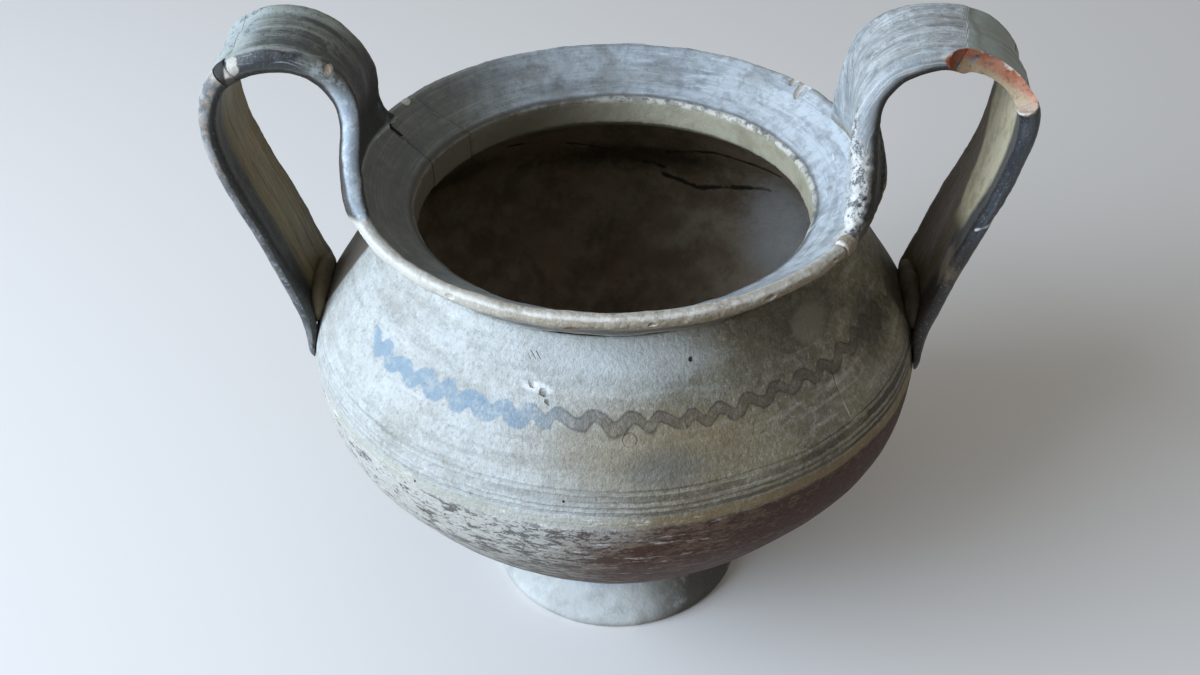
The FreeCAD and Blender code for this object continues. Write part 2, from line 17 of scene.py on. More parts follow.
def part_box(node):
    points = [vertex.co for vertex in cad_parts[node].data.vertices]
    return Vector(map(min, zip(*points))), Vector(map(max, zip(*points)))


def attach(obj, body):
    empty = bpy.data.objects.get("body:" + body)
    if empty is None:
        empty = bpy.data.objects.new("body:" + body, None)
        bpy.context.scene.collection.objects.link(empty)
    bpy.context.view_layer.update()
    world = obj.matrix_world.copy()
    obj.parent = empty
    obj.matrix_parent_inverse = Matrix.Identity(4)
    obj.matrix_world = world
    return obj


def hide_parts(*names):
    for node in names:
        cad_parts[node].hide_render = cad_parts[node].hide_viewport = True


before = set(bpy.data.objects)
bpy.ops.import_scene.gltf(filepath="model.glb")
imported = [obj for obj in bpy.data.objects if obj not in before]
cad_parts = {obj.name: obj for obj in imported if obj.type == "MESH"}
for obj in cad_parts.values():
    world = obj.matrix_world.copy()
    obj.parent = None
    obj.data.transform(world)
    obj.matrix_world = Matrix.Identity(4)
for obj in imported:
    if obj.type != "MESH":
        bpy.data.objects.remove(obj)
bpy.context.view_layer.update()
print("solid pieces:", ", ".join(sorted(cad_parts)))

# %% [markdown]
# ## Small helpers
# The operators of Blender act on whatever is selected, so each step starts by selecting only what it
# works on. The solid model's own meshes must stay as they are, so a piece that starts from one starts
# from a copy.

# %% Helpers for picking, copying and finishing a piece
MM = 0.001
DOUBLES = 0.002 * MM
SMOOTH_UNDER = radians(50)


def pick(*objects):
    """Select only these objects; the last one becomes the active one."""
    if bpy.context.object and bpy.context.object.mode != "OBJECT":
        bpy.ops.object.mode_set(mode="OBJECT")
    bpy.ops.object.select_all(action="DESELECT")
    for piece in objects:
        piece.select_set(True)
        bpy.context.view_layer.objects.active = piece


def copy_of(name, *nodes):
    """One new object from the meshes of these solid pieces, with their loose triangles joined up."""
    copies = []
    for node in nodes:
        copy = bpy.data.objects.new(name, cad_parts[node].data.copy())
        bpy.context.scene.collection.objects.link(copy)
        copies.append(copy)
    pick(*copies)
    if len(copies) > 1:
        bpy.ops.object.join()
    bpy.ops.object.mode_set(mode="EDIT")
    bpy.ops.mesh.select_all(action="SELECT")
    bpy.ops.mesh.remove_doubles(threshold=DOUBLES)
    bpy.ops.object.mode_set(mode="OBJECT")
    piece = bpy.context.object
    piece.data.materials.clear()
    return piece


def apply_modifier(piece, kind, **settings):
    """Put one modifier on the piece and make its result the mesh."""
    pick(piece)
    modifier = piece.modifiers.new(kind.title(), kind)
    for setting, value in settings.items():
        setattr(modifier, setting, value)
    bpy.ops.object.modifier_apply(modifier=modifier.name)


def finish_piece(piece, name, slot, *nodes):
    """Name a finished piece, shade it smooth, and let it stand for its solid pieces."""
    pick(piece)
    bpy.ops.object.shade_smooth_by_angle(angle=SMOOTH_UNDER)
    piece.name = name
    piece.data.name = name
    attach(piece, "root")
    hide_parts(*nodes)
    low, high = [[round(end(point.co[axis] for point in piece.data.vertices) / MM, 1) for axis in range(3)]
                 for end in (min, max)]
    print("%-20s %6d faces  %s to %s mm" % (name, len(piece.data.polygons), low, high))


# %% [markdown]
# ## The outline of the cup
# The solid model already fixes the sizes, so the outermost ones are read from its boxes. The places in
# between are (radius, height) on the outer side of the wall. Between two of them the clay bows outwards
# as a flat arc, and a short function gives the points of such an arc.

# %% Sizes of the thrown pieces, and an arc between two points
bowl_low, bowl_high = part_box("bowl")
foot_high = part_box("foot")[1]
rim_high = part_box("rim")[1]
BELLY_RADIUS = bowl_high.y
FOOT_RADIUS = foot_high.y
LIP_RADIUS = rim_high.y
LIP_HEIGHT = rim_high.z
NECK_HEIGHT = bowl_high.z
JOINT_HEIGHT = bowl_low.z
JOINT_RADIUS = 26.0 * MM
NECK_RADIUS = 53.2 * MM
WALL = 4.2 * MM
TURN = (73.4 * MM, 66.5 * MM)
BELLY = (BELLY_RADIUS, 80.0 * MM)
SHOULDER = (70.9 * MM, 92.0 * MM)
NECK = (NECK_RADIUS, NECK_HEIGHT)


def arc(start, end, bow, steps):
    """Points from start to just before end, bowed out to the right by this share of the distance."""
    across, up = end[0] - start[0], end[1] - start[1]
    points = []
    for step in range(steps):
        share = step / steps
        push = 4 * bow * share * (1 - share)
        points.append((start[0] + across * share + up * push, start[1] + up * share - across * push))
    return points


print("belly %.1f mm, lip %.1f mm, foot %.1f mm in radius" % (
    BELLY_RADIUS / MM, LIP_RADIUS / MM, FOOT_RADIUS / MM))

# %% [markdown]
# ## Throwing a round piece
# On the wheel a wall grows ring by ring under the potter's fingers. The same is done here: a circle is
# the first ring, and each further ring is extruded from the last one, lifted, and made wider or narrower.
# A Subdivision Surface then rounds the few rings into a smooth wall. Spinning an outline would give the
# same form, but the rings stay in order and are easy to change.

# %% Throw a wall ring by ring
RING_POINTS = 112
POLE_DOUBLES = 0.01 * MM
ROUNDINGS = 2


def throw(name, rings):
    """A closed wall of revolution: rings are (radius, height), and the last ring joins the first."""
    bpy.ops.object.select_all(action="DESELECT")
    radius, height = rings[0]
    bpy.ops.mesh.primitive_circle_add(vertices=RING_POINTS, radius=radius, location=(0, 0, height))
    piece = bpy.context.object
    piece.name = name
    bpy.ops.object.transform_apply(location=True, rotation=False, scale=False)
    bpy.ops.object.mode_set(mode="EDIT")
    bpy.ops.mesh.select_all(action="SELECT")
    for next_radius, next_height in rings[1:]:
        bpy.ops.mesh.extrude_edges_move(
            TRANSFORM_OT_translate={"value": (0, 0, next_height - height)})
        wider = next_radius / radius
        bpy.ops.transform.resize(value=(wider, wider, 1), center_override=(0, 0, 0))
        radius, height = next_radius, next_height
    return piece


def close_wall(piece):
    """Close the wall at its poles, point its faces outwards and round it off."""
    bpy.ops.mesh.select_all(action="SELECT")
    bpy.ops.mesh.remove_doubles(threshold=POLE_DOUBLES)
    bpy.ops.mesh.select_all(action="SELECT")
    bpy.ops.mesh.normals_make_consistent(inside=False)
    bpy.ops.object.mode_set(mode="OBJECT")
    apply_modifier(piece, "SUBSURF", levels=ROUNDINGS, render_levels=ROUNDINGS)


# %% [markdown]
# ## Hand-made surfaces
# Nothing on the cup is quite even. A copy of a solid piece is softened by remeshing it into even cells
# and smoothing those, which rounds its edges as a wet finger does. The Displace modifier then pushes the
# surface in and out by cloudy noise, everywhere or only near a path.

# %% Soften a copy of the solid model, and make a surface uneven
def soften(piece, cell, passes):
    """Melt the piece into even cells and smooth it, as a wet finger does."""
    apply_modifier(piece, "REMESH", mode="VOXEL", voxel_size=cell)
    apply_modifier(piece, "SMOOTH", factor=0.5, iterations=passes)
    return piece


def make_uneven(piece, width, depth, where=None, middle=0.5):
    """Push the surface in and out by cloudy noise of this width, this deep from lowest to highest."""
    clouds = bpy.data.textures.new("hand_unevenness", "CLOUDS")
    clouds.noise_scale = width
    clouds.noise_depth = 2
    settings = {"texture": clouds, "texture_coords": "LOCAL", "strength": depth, "mid_level": middle}
    if where:
        group = piece.vertex_groups.new(name="where")
        for point in piece.data.vertices:
            weight = where(point.co)
            if weight > 0:
                group.add([point.index], weight, "REPLACE")
        settings["vertex_group"] = "where"
    apply_modifier(piece, "DISPLACE", **settings)
    piece.vertex_groups.clear()
    bpy.data.textures.remove(clouds)


def near_path(reach, *path):
    """A function that gives 1 on this path in mm and falls to 0 at the reach from it."""
    def weight(place):
        place = place / MM
        closest = reach
        for start, end in zip(path[:-1], path[1:]):
            run = Vector(end) - Vector(start)
            share = min(1, max(0, (place - Vector(start)).dot(run) / run.length_squared))
            closest = min(closest, (place - Vector(start) - share * run).length)
        return 1 - closest / reach
    return weight


# %% [markdown]
# ## Tools that wear a piece
# Chips, pits and cracks are cut for real, so that light catches their edges. Two tools are enough: a
# rough stone that knocks out a chip, and a thin blade that follows a crack. They are made like any piece,
# and a Boolean takes them out.

# %% The stone and the blade
BLADE_TIP = 0.4


def turned(along, up):
    """The turn that lays X along one direction and Z as nearly as it can along the other."""
    x = Vector(along).normalized()
    y = Vector(up).cross(x).normalized()
    return Matrix((x, y, x.cross(y))).transposed().to_quaternion()


def stone(place, half_size, along, up, rough=0.12, grain=0.8):
    """A rough stone at this place in mm, with these half sizes along, across and up."""
    bpy.ops.object.select_all(action="DESELECT")
    bpy.ops.mesh.primitive_ico_sphere_add(subdivisions=4, radius=1)
    tool = bpy.context.object
    tool.scale = [size * MM for size in half_size]
    tool.rotation_mode = "QUATERNION"
    tool.rotation_quaternion = turned(along, up)
    tool.location = Vector(place) * MM
    bpy.ops.object.transform_apply(location=True, rotation=True, scale=True)
    make_uneven(tool, grain * MM, rough * MM)
    return tool


def blade(path, into, reach, gap):
    """A thin blade along this path in mm, reaching this far to both sides of the surface."""
    along = Vector(path[1]) - Vector(path[0])
    bpy.ops.object.select_all(action="DESELECT")
    bpy.ops.mesh.primitive_plane_add(size=1)
    tool = bpy.context.object
    tool.scale = (2 * reach * MM, gap * MM, 1)
    tool.rotation_mode = "QUATERNION"
    side = Vector(into).cross(along).normalized()
    deep = along.cross(side).normalized()
    tool.rotation_quaternion = Matrix((deep, side, deep.cross(side))).transposed().to_quaternion()
    tool.location = Vector(path[0]) * MM
    bpy.ops.object.transform_apply(location=True, rotation=True, scale=True)
    bpy.ops.object.mode_set(mode="EDIT")
    bpy.ops.mesh.select_all(action="SELECT")
    for start, end in zip(path[:-1], path[1:]):
        bpy.ops.mesh.extrude_region_move(
            TRANSFORM_OT_translate={"value": (Vector(end) - Vector(start)) * MM})
    bpy.ops.transform.resize(value=(BLADE_TIP,) * 3, center_override=Vector(path[-1]) * MM)
    bpy.ops.mesh.select_all(action="SELECT")
    bpy.ops.mesh.normals_make_consistent(inside=False)
    bpy.ops.object.mode_set(mode="OBJECT")
    return tool


def take_out(piece, tool, operation="DIFFERENCE"):
    """Cut the piece with a closed tool: take the tool's shape out of it, or keep only what lies inside."""
    apply_modifier(piece, "BOOLEAN", operation=operation, object=tool, solver="EXACT")


def wear(piece, *tools):
    """Take all these tools out of the piece at once, and throw them away."""
    pick(*tools)
    if len(tools) > 1:
        bpy.ops.object.join()
    tool = bpy.context.object
    take_out(piece, tool)
    bpy.data.objects.remove(tool)


# %% [markdown]
# ### The bowl
# The outer side runs from the joint with the foot out to the belly and back in to the neck; the inner
# side follows it at the thickness of the wall. At the floor both sides end in one point on the axis,
# which closes the wall.

# %% Throw the bowl
AXIS = 0.005 * MM
LOWER_BOW, BELLY_BOW, UPPER_BOW, SHOULDER_BOW = 0.064, 0.035, 0.09, 0.012
UNDER_RINGS = (12 * MM, 24 * MM)
FLOOR_EDGE = (14.3 * MM, 23.0 * MM)
FLOOR_RING = 7 * MM
FLOOR_HEIGHT = 22.8 * MM
NECK_EDGE = ((NECK_RADIUS - 1.2 * MM, NECK_HEIGHT - 0.6 * MM), (50.3 * MM, 113.5 * MM))
INNER_NECK = (51.2 * MM, 112.3 * MM)
INNER_SHOULDER = (SHOULDER[0] - WALL * 0.9, SHOULDER[1] - WALL * 0.35)
INNER_BELLY = (BELLY[0] - WALL, BELLY[1])
INNER_TURN = (TURN[0] - WALL, TURN[1] + WALL * 0.35)
outer_side = [(AXIS, JOINT_HEIGHT)] + [(radius, JOINT_HEIGHT) for radius in UNDER_RINGS]
outer_side += arc((JOINT_RADIUS, JOINT_HEIGHT + 0.3 * MM), TURN, LOWER_BOW, 9)
outer_side += arc(TURN, BELLY, BELLY_BOW, 3)
outer_side += arc(BELLY, SHOULDER, UPPER_BOW, 3)
outer_side += arc(SHOULDER, NECK, SHOULDER_BOW, 5)
inner_side = arc(INNER_NECK, INNER_SHOULDER, -SHOULDER_BOW, 4)
inner_side += arc(INNER_SHOULDER, INNER_BELLY, -UPPER_BOW, 2)
inner_side += arc(INNER_BELLY, INNER_TURN, -BELLY_BOW, 2)
inner_side += arc(INNER_TURN, FLOOR_EDGE, -LOWER_BOW, 7)
inner_side += [FLOOR_EDGE, (FLOOR_RING, FLOOR_HEIGHT), (AXIS, FLOOR_HEIGHT)]
bowl = throw("bowl", [*outer_side, NECK, *NECK_EDGE, *inner_side])
close_wall(bowl)
make_uneven(bowl, 38 * MM, 1.0 * MM)
make_uneven(bowl, 6 * MM, 0.14 * MM)
print("bowl thrown:", len(bowl.data.polygons), "faces")

# %% [markdown]
# ### Marks on the bowl
# Round pits lie where a grain of chalk or a bubble burst, three short nicks stand side by side on the
# shoulder, and a few flakes have come off below them. A fine crack runs down the shoulder at the right,
# and something round was once pressed into the soft clay. All of them are cut at once.

# %% Knock, pit and crack the bowl
SHOULDER_LEAN = 0.627
PITS = (((17.8, -54.4, 110.5), 0.6), ((-8.5, -73.5, 87.1), 0.32), ((-41.8, -62.6, 81.8), 0.30))
PIT_DEPTH = 1.5
NICK = ((-16.8, -54.1, 112.0), (-15.7, -55.0, 110.4))
NICKS_APART = (1.1, -0.11, 0)
FLAKES = (((-15.6, -58.4, 106.9), (1.5, 0.9, 0.9)), ((-13.0, -59.8, 105.4), (1.3, 0.9, 0.9)),
          ((-12.0, -61.2, 103.9), (0.9, 0.6, 0.9)))
DOWN_SHOULDER = (0.6, 0, -0.8)
BODY_CRACK = ((48.3, -42.6, 104.4), (49.6, -44.5, 99.0), (50.3, -45.8, 95.2), (53.9, -48.8, 89.6))
RING_MARK = (5.4, -66.3, 98.2)
RING_MARK_RADIUS = 1.5 * MM
RING_MARK_DEPTH = 0.22 * MM


def out_of_shoulder(place):
    """Straight out of the shoulder at this place."""
    level = Vector((place[0], place[1], 0)).normalized() * sqrt(1 - SHOULDER_LEAN ** 2)
    return level + Vector((0, 0, SHOULDER_LEAN))


bowl_wear = []
for place, half in PITS:
    bowl_wear.append(stone(place, (PIT_DEPTH, half, half), out_of_shoulder(place), (0, 0, 1)))
for count in range(3):
    nick = [[value + count * step for value, step in zip(end, NICKS_APART)] for end in NICK]
    bowl_wear.append(blade(nick, out_of_shoulder(nick[0]), 0.7, 0.26))
for place, half_size in FLAKES:
    bowl_wear.append(stone(place, half_size, DOWN_SHOULDER, out_of_shoulder(place), 0.5))
bowl_wear.append(blade(BODY_CRACK, out_of_shoulder(BODY_CRACK[1]), 1.0, 0.18))
bpy.ops.object.select_all(action="DESELECT")
bpy.ops.mesh.primitive_torus_add(major_segments=32, minor_segments=8, major_radius=RING_MARK_RADIUS,
                                 minor_radius=RING_MARK_DEPTH)
ring_mark = bpy.context.object
ring_mark.rotation_mode = "QUATERNION"
ring_mark.rotation_quaternion = out_of_shoulder(RING_MARK).to_track_quat("Z", "Y")
ring_mark.location = Vector(RING_MARK) * MM
bpy.ops.object.transform_apply(location=True, rotation=True, scale=True)
bowl_wear.append(ring_mark)
wear(bowl, *bowl_wear)
finish_piece(bowl, "thrown_bowl", "slipped_clay", "bowl")

# %% [markdown]
# ### The foot
# The foot is a low cone with a slightly hollow side. It stands on a narrow ring, and the hollow under it
# keeps it from rocking and from splitting in the kiln.

# %% Throw the foot
FOOT_EDGE = (FOOT_RADIUS, 3.2 * MM)
FOOT_BOW = 0.10
HOLLOW = 8.5 * MM
top = [(AXIS, JOINT_HEIGHT), (14 * MM, JOINT_HEIGHT), (JOINT_RADIUS - 0.6 * MM, JOINT_HEIGHT)]
side = arc((JOINT_RADIUS, JOINT_HEIGHT - 0.4 * MM), FOOT_EDGE, FOOT_BOW, 5)
standing_ring = [(FOOT_RADIUS, 3.0 * MM), (FOOT_RADIUS, 1.2 * MM), (FOOT_RADIUS - 0.5 * MM, 0.1 * MM),
                 (FOOT_RADIUS - 1.2 * MM, 0), (FOOT_RADIUS - 6.2 * MM, 0), (FOOT_RADIUS - 7.0 * MM, 0.2 * MM)]
underside = [(24.5 * MM, 3.6 * MM), (20.0 * MM, 7.9 * MM), (18.0 * MM, HOLLOW), (9 * MM, HOLLOW),
             (AXIS, HOLLOW)]
foot = throw("foot", top + side + standing_ring + underside)
close_wall(foot)
make_uneven(foot, 12 * MM, 0.5 * MM)
finish_piece(foot, "thrown_foot", "bare_clay", "foot")

# %% [markdown]
# ### The clay worked into the joints
# The coils at the neck and at the foot are already the right shape in the solid model. They only need
# soft edges, as wet clay has, so a copy is melted into fine cells and smoothed.


# %% Press the coils in
neck_coil = soften(copy_of("neck_coil", "neck_luting"), 0.7 * MM, 4)
finish_piece(neck_coil, "neck_coil", "bare_clay", "neck_luting")
foot_coil = soften(copy_of("foot_coil", "foot_luting"), 0.5 * MM, 2)
finish_piece(foot_coil, "foot_coil", "bare_clay", "foot_luting")

# %% [markdown]
# ## Rim and handles, joined wet
# A handle's root was pressed on the lip and smeared until no joint could be seen. So the rim and both
# straps are melted together as one body of clay first, which rounds every inner corner, and only then cut
# apart: level above the lip, where the straps leave it, and along the old breaks.

# %% Melt the rim and the straps together
STRAP_NODES = {
    "left": ["left_handle_upper", "left_handle_fill", "left_handle_lower"],
    "right": ["right_handle_upper", "right_handle_crown", "right_handle_fill", "right_handle_lower"],
}
wet_clay = copy_of("wet_clay", "rim", *STRAP_NODES["left"], *STRAP_NODES["right"])
soften(wet_clay, 0.6 * MM, 6)
print("melted together:", len(wet_clay.data.polygons), "faces")


# %% [markdown]
# ### A rough lip, lime crust and burrs
# While the clay is one body it gets its unevenness, so that no step shows at a cut. The lip has been
# knocked all round. Lime has grown as a crust along the front of the right handle's root, and crumbs of
# clay hang on its outer side. Each is noise that only acts near its own place.

# %% Roughen the lip and grow the crust
LIP_INNER = 59.2 * MM
LIP_FROM, LIP_TO = 120.5 * MM, 127 * MM
CRUST = ((52.2, -14.5, 147), (53.4, -17.5, 141.5), (54.2, -21.5, 137), (53.6, -24.3, 132), (52.5, -26.4, 128),
         (51.0, -28.8, 125.2))
BURRS = ((59.0, -6, 140.5), (60.6, -6, 137), (61.3, -7, 133), (61.4, -9, 130.5), (60.6, -13.5, 128))


def on_lip(place):
    """1 on the lip of the rim, where it has been knocked all round."""
    return 1 if hypot(place.x, place.y) > LIP_INNER and LIP_FROM < place.z < LIP_TO else 0


make_uneven(wet_clay, 9 * MM, 0.7 * MM)
make_uneven(wet_clay, 2.2 * MM, 0.16 * MM)
make_uneven(wet_clay, 1.2 * MM, 0.26 * MM, on_lip)
make_uneven(wet_clay, 1.1 * MM, 1.3 * MM, near_path(2.6, *CRUST), 0.4)
make_uneven(wet_clay, 1.0 * MM, 1.9 * MM, near_path(2.2, *BURRS), 0.5)
print("roughened:", len(wet_clay.data.polygons), "faces")

# %% Cut the rim free, level just above the lip
ABOVE_LIP = LIP_HEIGHT + 1.5 * MM
BELOW_NECK = 90 * MM
INSIDE_LEGS = 68 * MM
CRUMB_POINTS = 400


def twin_of(piece, name):
    """A second object with a mesh of its own."""
    twin = piece.copy()
    twin.data = piece.data.copy()
    twin.name = name
    bpy.context.scene.collection.objects.link(twin)
    return twin


bpy.ops.object.select_all(action="DESELECT")
bpy.ops.mesh.primitive_cube_add(size=1, location=(0, 0, (ABOVE_LIP + BELOW_NECK) / 2))
rim_box = bpy.context.object
rim_box.scale = (2 * INSIDE_LEGS, 2 * INSIDE_LEGS, ABOVE_LIP - BELOW_NECK)
bpy.ops.object.transform_apply(location=True, rotation=False, scale=True)
flared_rim = twin_of(wet_clay, "flared_rim")
take_out(flared_rim, rim_box, "INTERSECT")
take_out(wet_clay, rim_box)
bpy.data.objects.remove(rim_box)


def split_loose(piece):
    """Split what no longer hangs together into pieces of their own, and throw the crumbs away."""
    pick(piece)
    bpy.ops.object.mode_set(mode="EDIT")
    bpy.ops.mesh.select_all(action="SELECT")
    bpy.ops.mesh.separate(type="LOOSE")
    bpy.ops.object.mode_set(mode="OBJECT")
    parts = list(bpy.context.selected_objects)
    for crumb in [part for part in parts if len(part.data.vertices) < CRUMB_POINTS]:
        parts.remove(crumb)
        bpy.data.objects.remove(crumb)
    return parts


def middle_across(part):
    """How far along X the piece's points lie, on average."""
    return sum(point.co.x for point in part.data.vertices) / len(part.data.vertices)


left_strap, right_strap = sorted(split_loose(wet_clay), key=middle_across)
for part, title in ((flared_rim, "rim"), (left_strap, "left strap"), (right_strap, "right strap")):
    print(title + ":", len(part.data.polygons), "faces")

# %% [markdown]
# ### The old breaks
# Fired clay doesn't break clean: the crack wanders, and a mended one stays open by a hair. A thin uneven
# sheet is shaped to follow the crack, and a Boolean takes it out of the clay. What falls apart is then
# split into pieces.


# %% Cut along a crack
CRACK_CELLS = 48
CRACK_WAVE = 3.5 * MM


def crack_sheet(place, along, width, wander, gap):
    """A thin wavering sheet through this place in mm, square to the direction along."""
    bpy.ops.object.select_all(action="DESELECT")
    bpy.ops.mesh.primitive_grid_add(x_subdivisions=CRACK_CELLS, y_subdivisions=CRACK_CELLS, size=width)
    sheet = bpy.context.object
    sheet.rotation_mode = "QUATERNION"
    sheet.rotation_quaternion = Vector(along).to_track_quat("Z", "Y")
    sheet.location = [value * MM for value in place]
    bpy.ops.object.transform_apply(location=True, rotation=True, scale=False)
    clouds = bpy.data.textures.new("crack", "CLOUDS")
    clouds.noise_scale = CRACK_WAVE
    clouds.noise_depth = 3
    apply_modifier(sheet, "DISPLACE", texture=clouds, texture_coords="LOCAL", strength=wander, mid_level=0.5)
    bpy.data.textures.remove(clouds)
    apply_modifier(sheet, "SOLIDIFY", thickness=gap, offset=0)
    return sheet


# %% Part the left handle
LEFT_BREAK = (-81.5, -1.0, 155.75)
LEFT_BREAK_ALONG = (-0.841, -0.03, -0.541)
LEFT_NICK = (-60.4, -13.4, 155.9)
left_crack = crack_sheet(LEFT_BREAK, LEFT_BREAK_ALONG, 44 * MM, 0.9 * MM, 0.12 * MM)
take_out(left_strap, left_crack)
left_chip = soften(copy_of("left_chip", "left_handle_fill"), 0.3 * MM, 4)
apply_modifier(left_chip, "DISPLACE", strength=0.1 * MM, mid_level=0)
chip_hole = twin_of(left_chip, "chip_hole")
apply_modifier(chip_hole, "DISPLACE", strength=0.3 * MM, mid_level=0)
take_out(left_strap, chip_hole)
for tool in (left_crack, chip_hole):
    bpy.data.objects.remove(tool)
left_lower, left_upper = sorted(split_loose(left_strap), key=middle_across)
wear(left_upper, stone(LEFT_NICK, (1.3, 1.5, 0.9), (1, 0, -0.6), (0.5, -0.5, 0.8), 0.4))
make_uneven(left_chip, 1.4 * MM, 0.3 * MM)
finish_piece(left_upper, "left_strap_upper", "dark_slipped_clay", "left_handle_upper")
finish_piece(left_lower, "left_strap_lower", "dark_slipped_clay", "left_handle_lower")
finish_piece(left_chip, "left_plaster_chip", "plaster", "left_handle_fill")

# %% [markdown]
# ### The broken right handle
# The near edge of its crown is gone: it came off like a flake of flint and left a hollow scar. Behind the
# scar the strap is broken twice. The first break closes again by a hair, and a bed of plaster fills the
# second. So the second sheet is thicker, and the strap's own shape, kept only inside that sheet, makes
# the bed.

# %% Break the edge off the right crown
RIGHT_SCAR = (80.2, -17.0, 156.0)
SCAR_SLOPE = (0.857, 0.0, -0.515)
SCAR_SIZE = (11.4, 5.4, 6.4)
wear(right_strap, stone(RIGHT_SCAR, SCAR_SIZE, SCAR_SLOPE, (0, 0, 1), 1.3, 2.6))
print("right strap:", len(right_strap.data.polygons), "faces")

# %% Part the right handle
RIGHT_FIRST_BREAK = (75.5, -1.0, 157.5)
RIGHT_FIRST_ALONG = (0.939, -0.178, -0.344)
RIGHT_SECOND_BREAK = (88.8, -1.0, 149.2)
RIGHT_SECOND_ALONG = (0.488, 0.0, -0.873)
PLASTER_BED = 0.8 * MM
right_crack = crack_sheet(RIGHT_FIRST_BREAK, RIGHT_FIRST_ALONG, 50 * MM, 1.2 * MM, 0.14 * MM)
take_out(right_strap, right_crack)
bed_sheet = crack_sheet(RIGHT_SECOND_BREAK, RIGHT_SECOND_ALONG, 38 * MM, 1.0 * MM, PLASTER_BED)
right_bed = twin_of(right_strap, "right_bed")
take_out(right_bed, bed_sheet, "INTERSECT")
take_out(right_strap, bed_sheet)
for tool in (right_crack, bed_sheet):
    bpy.data.objects.remove(tool)


def top_of(part):
    """The height of the piece's highest point."""
    return max(point.co.z for point in part.data.vertices)


right_upper, right_crown, right_lower = sorted(split_loose(right_strap), key=top_of, reverse=True)
soften(right_bed, 0.2 * MM, 1)
apply_modifier(right_bed, "DISPLACE", strength=0.06 * MM, mid_level=0)
make_uneven(right_bed, 1.6 * MM, 0.15 * MM)
finish_piece(right_upper, "right_strap_upper", "dark_slipped_clay", "right_handle_upper")
finish_piece(right_crown, "right_strap_crown", "dark_slipped_clay", "right_handle_crown")
finish_piece(right_lower, "right_strap_lower", "dark_slipped_clay", "right_handle_lower")
finish_piece(right_bed, "right_plaster_bed", "plaster", "right_handle_fill")

# %% [markdown]
# ### The sherd and the lump in the rim
# The sherd by the left handle was set back into its gap, so its edges are a little worn. The white lump
# beside the right handle fills a nick in the lip and stands slightly proud of it.

# %% Set the sherd and the lump
rim_sherd = soften(copy_of("rim_sherd_copy", "rim_sherd"), 0.4 * MM, 4)
lip_lump = soften(copy_of("lip_lump", "rim_fill"), 0.3 * MM, 4)
make_uneven(lip_lump, 1.4 * MM, 0.45 * MM)
finish_piece(lip_lump, "lip_plaster_lump", "plaster", "rim_fill")

# %% [markdown]
# ### Knocks on the rim
# Two notches were cut into the back of the flare, an old slit runs down it beside the sherd, and the lip
# has small knocks all round. Each place is given by its turn round the cup and its height, and a short
# function works out the two directions that a tool needs there.

# %% Knock the rim
FLARE_SLOPE = radians(38)
NOTCH_STONES = ((41.3, 60.4, 126.8, (2.5, 1.2, 1.5)), (37.4, 59.5, 126.2, (3.7, 1.9, 1.6)))
OLD_SLIT = ((-57.8, 17.3, 127.0), (-55.1, 16.8, 124.8), (-53.1, 16.3, 123.0), (-50.6, 16.6, 120.8))
LIP_KNOCKS = ((-152, 124.4, 0.9), (-139, 123.2, 0.7), (-121, 125.0, 1.0), (-108, 123.4, 0.8),
              (-96, 122.9, 1.3), (-81, 124.6, 0.8), (-69, 123.3, 0.9), (-57, 124.8, 1.1), (-46, 123.6, 0.8),
              (-39, 125.2, 0.9), (25, 125.6, 1.0), (63, 125.8, 1.1), (96, 125.9, 0.9), (124, 125.7, 1.2),
              (170, 125.5, 1.0))


def on_flare(turn, radius, height):
    """A place on the flare, with the way up the flare and the way out of its surface there."""
    level = Vector((cos(radians(turn)), sin(radians(turn)), 0))
    place = level * radius + Vector((0, 0, height))
    up_flare = level * cos(FLARE_SLOPE) + Vector((0, 0, sin(FLARE_SLOPE)))
    out_of_flare = Vector((0, 0, cos(FLARE_SLOPE))) - level * sin(FLARE_SLOPE)
    return place, up_flare, out_of_flare


rim_wear = []
for turn, radius, height, half_size in NOTCH_STONES:
    place, up_flare, out_of_flare = on_flare(turn, radius, height)
    rim_wear.append(stone(place, half_size, up_flare, out_of_flare, 0.35))
out_of_slit = on_flare(163, 57, 124)[2]
rim_wear.append(blade(OLD_SLIT, out_of_slit, 1.6, 0.8))
wear(rim_sherd, blade(OLD_SLIT, out_of_slit, 1.6, 0.8))
finish_piece(rim_sherd, "set_back_sherd", "slipped_clay", "rim_sherd")
for turn, height, half in LIP_KNOCKS:
    place = on_flare(turn, LIP_RADIUS / MM + 0.25, height)[0]
    round_lip = (-place.y, place.x, 0)
    rim_wear.append(stone(place, (1.5 * half, 0.9 * half, 0.8 * half), round_lip, (0, 0, 1), 0.3))
wear(flared_rim, *rim_wear)
finish_piece(flared_rim, "flared_rim", "slipped_clay", "rim")

# %% [markdown]
# ### The wads behind the handles
# Where a strap comes down on the belly, a wad of soft clay was pushed into the corner and smoothed with a
# finger.

# %% Press the wads in
for side in ("left", "right"):
    wad = soften(copy_of("wad", side + "_handle_wad"), 0.5 * MM, 22)
    apply_modifier(wad, "DISPLACE", strength=0.25 * MM, mid_level=0)
    make_uneven(wad, 5 * MM, 0.5 * MM)
    finish_piece(wad, side + "_wad", "bare_clay", side + "_handle_wad")

# %% [markdown]
# ## Colours and patterns
# The finishes are procedural: they are worked out from where a point lies on the cup, in millimetres, so
# a pattern runs on over every seam between two pieces. One small function adds a node, fills its inputs
# and gives its output. Everything below is built from it.

# %% The function that adds a node
def paint(code):
    """An sRGB hex colour as the linear colour that a socket holds."""
    shares = [int(code[place:place + 2], 16) / 255 for place in (1, 3, 5)]
    return [share / 12.92 if share <= 0.04045 else ((share + 0.055) / 1.055) ** 2.4 for share in shares] + [1]


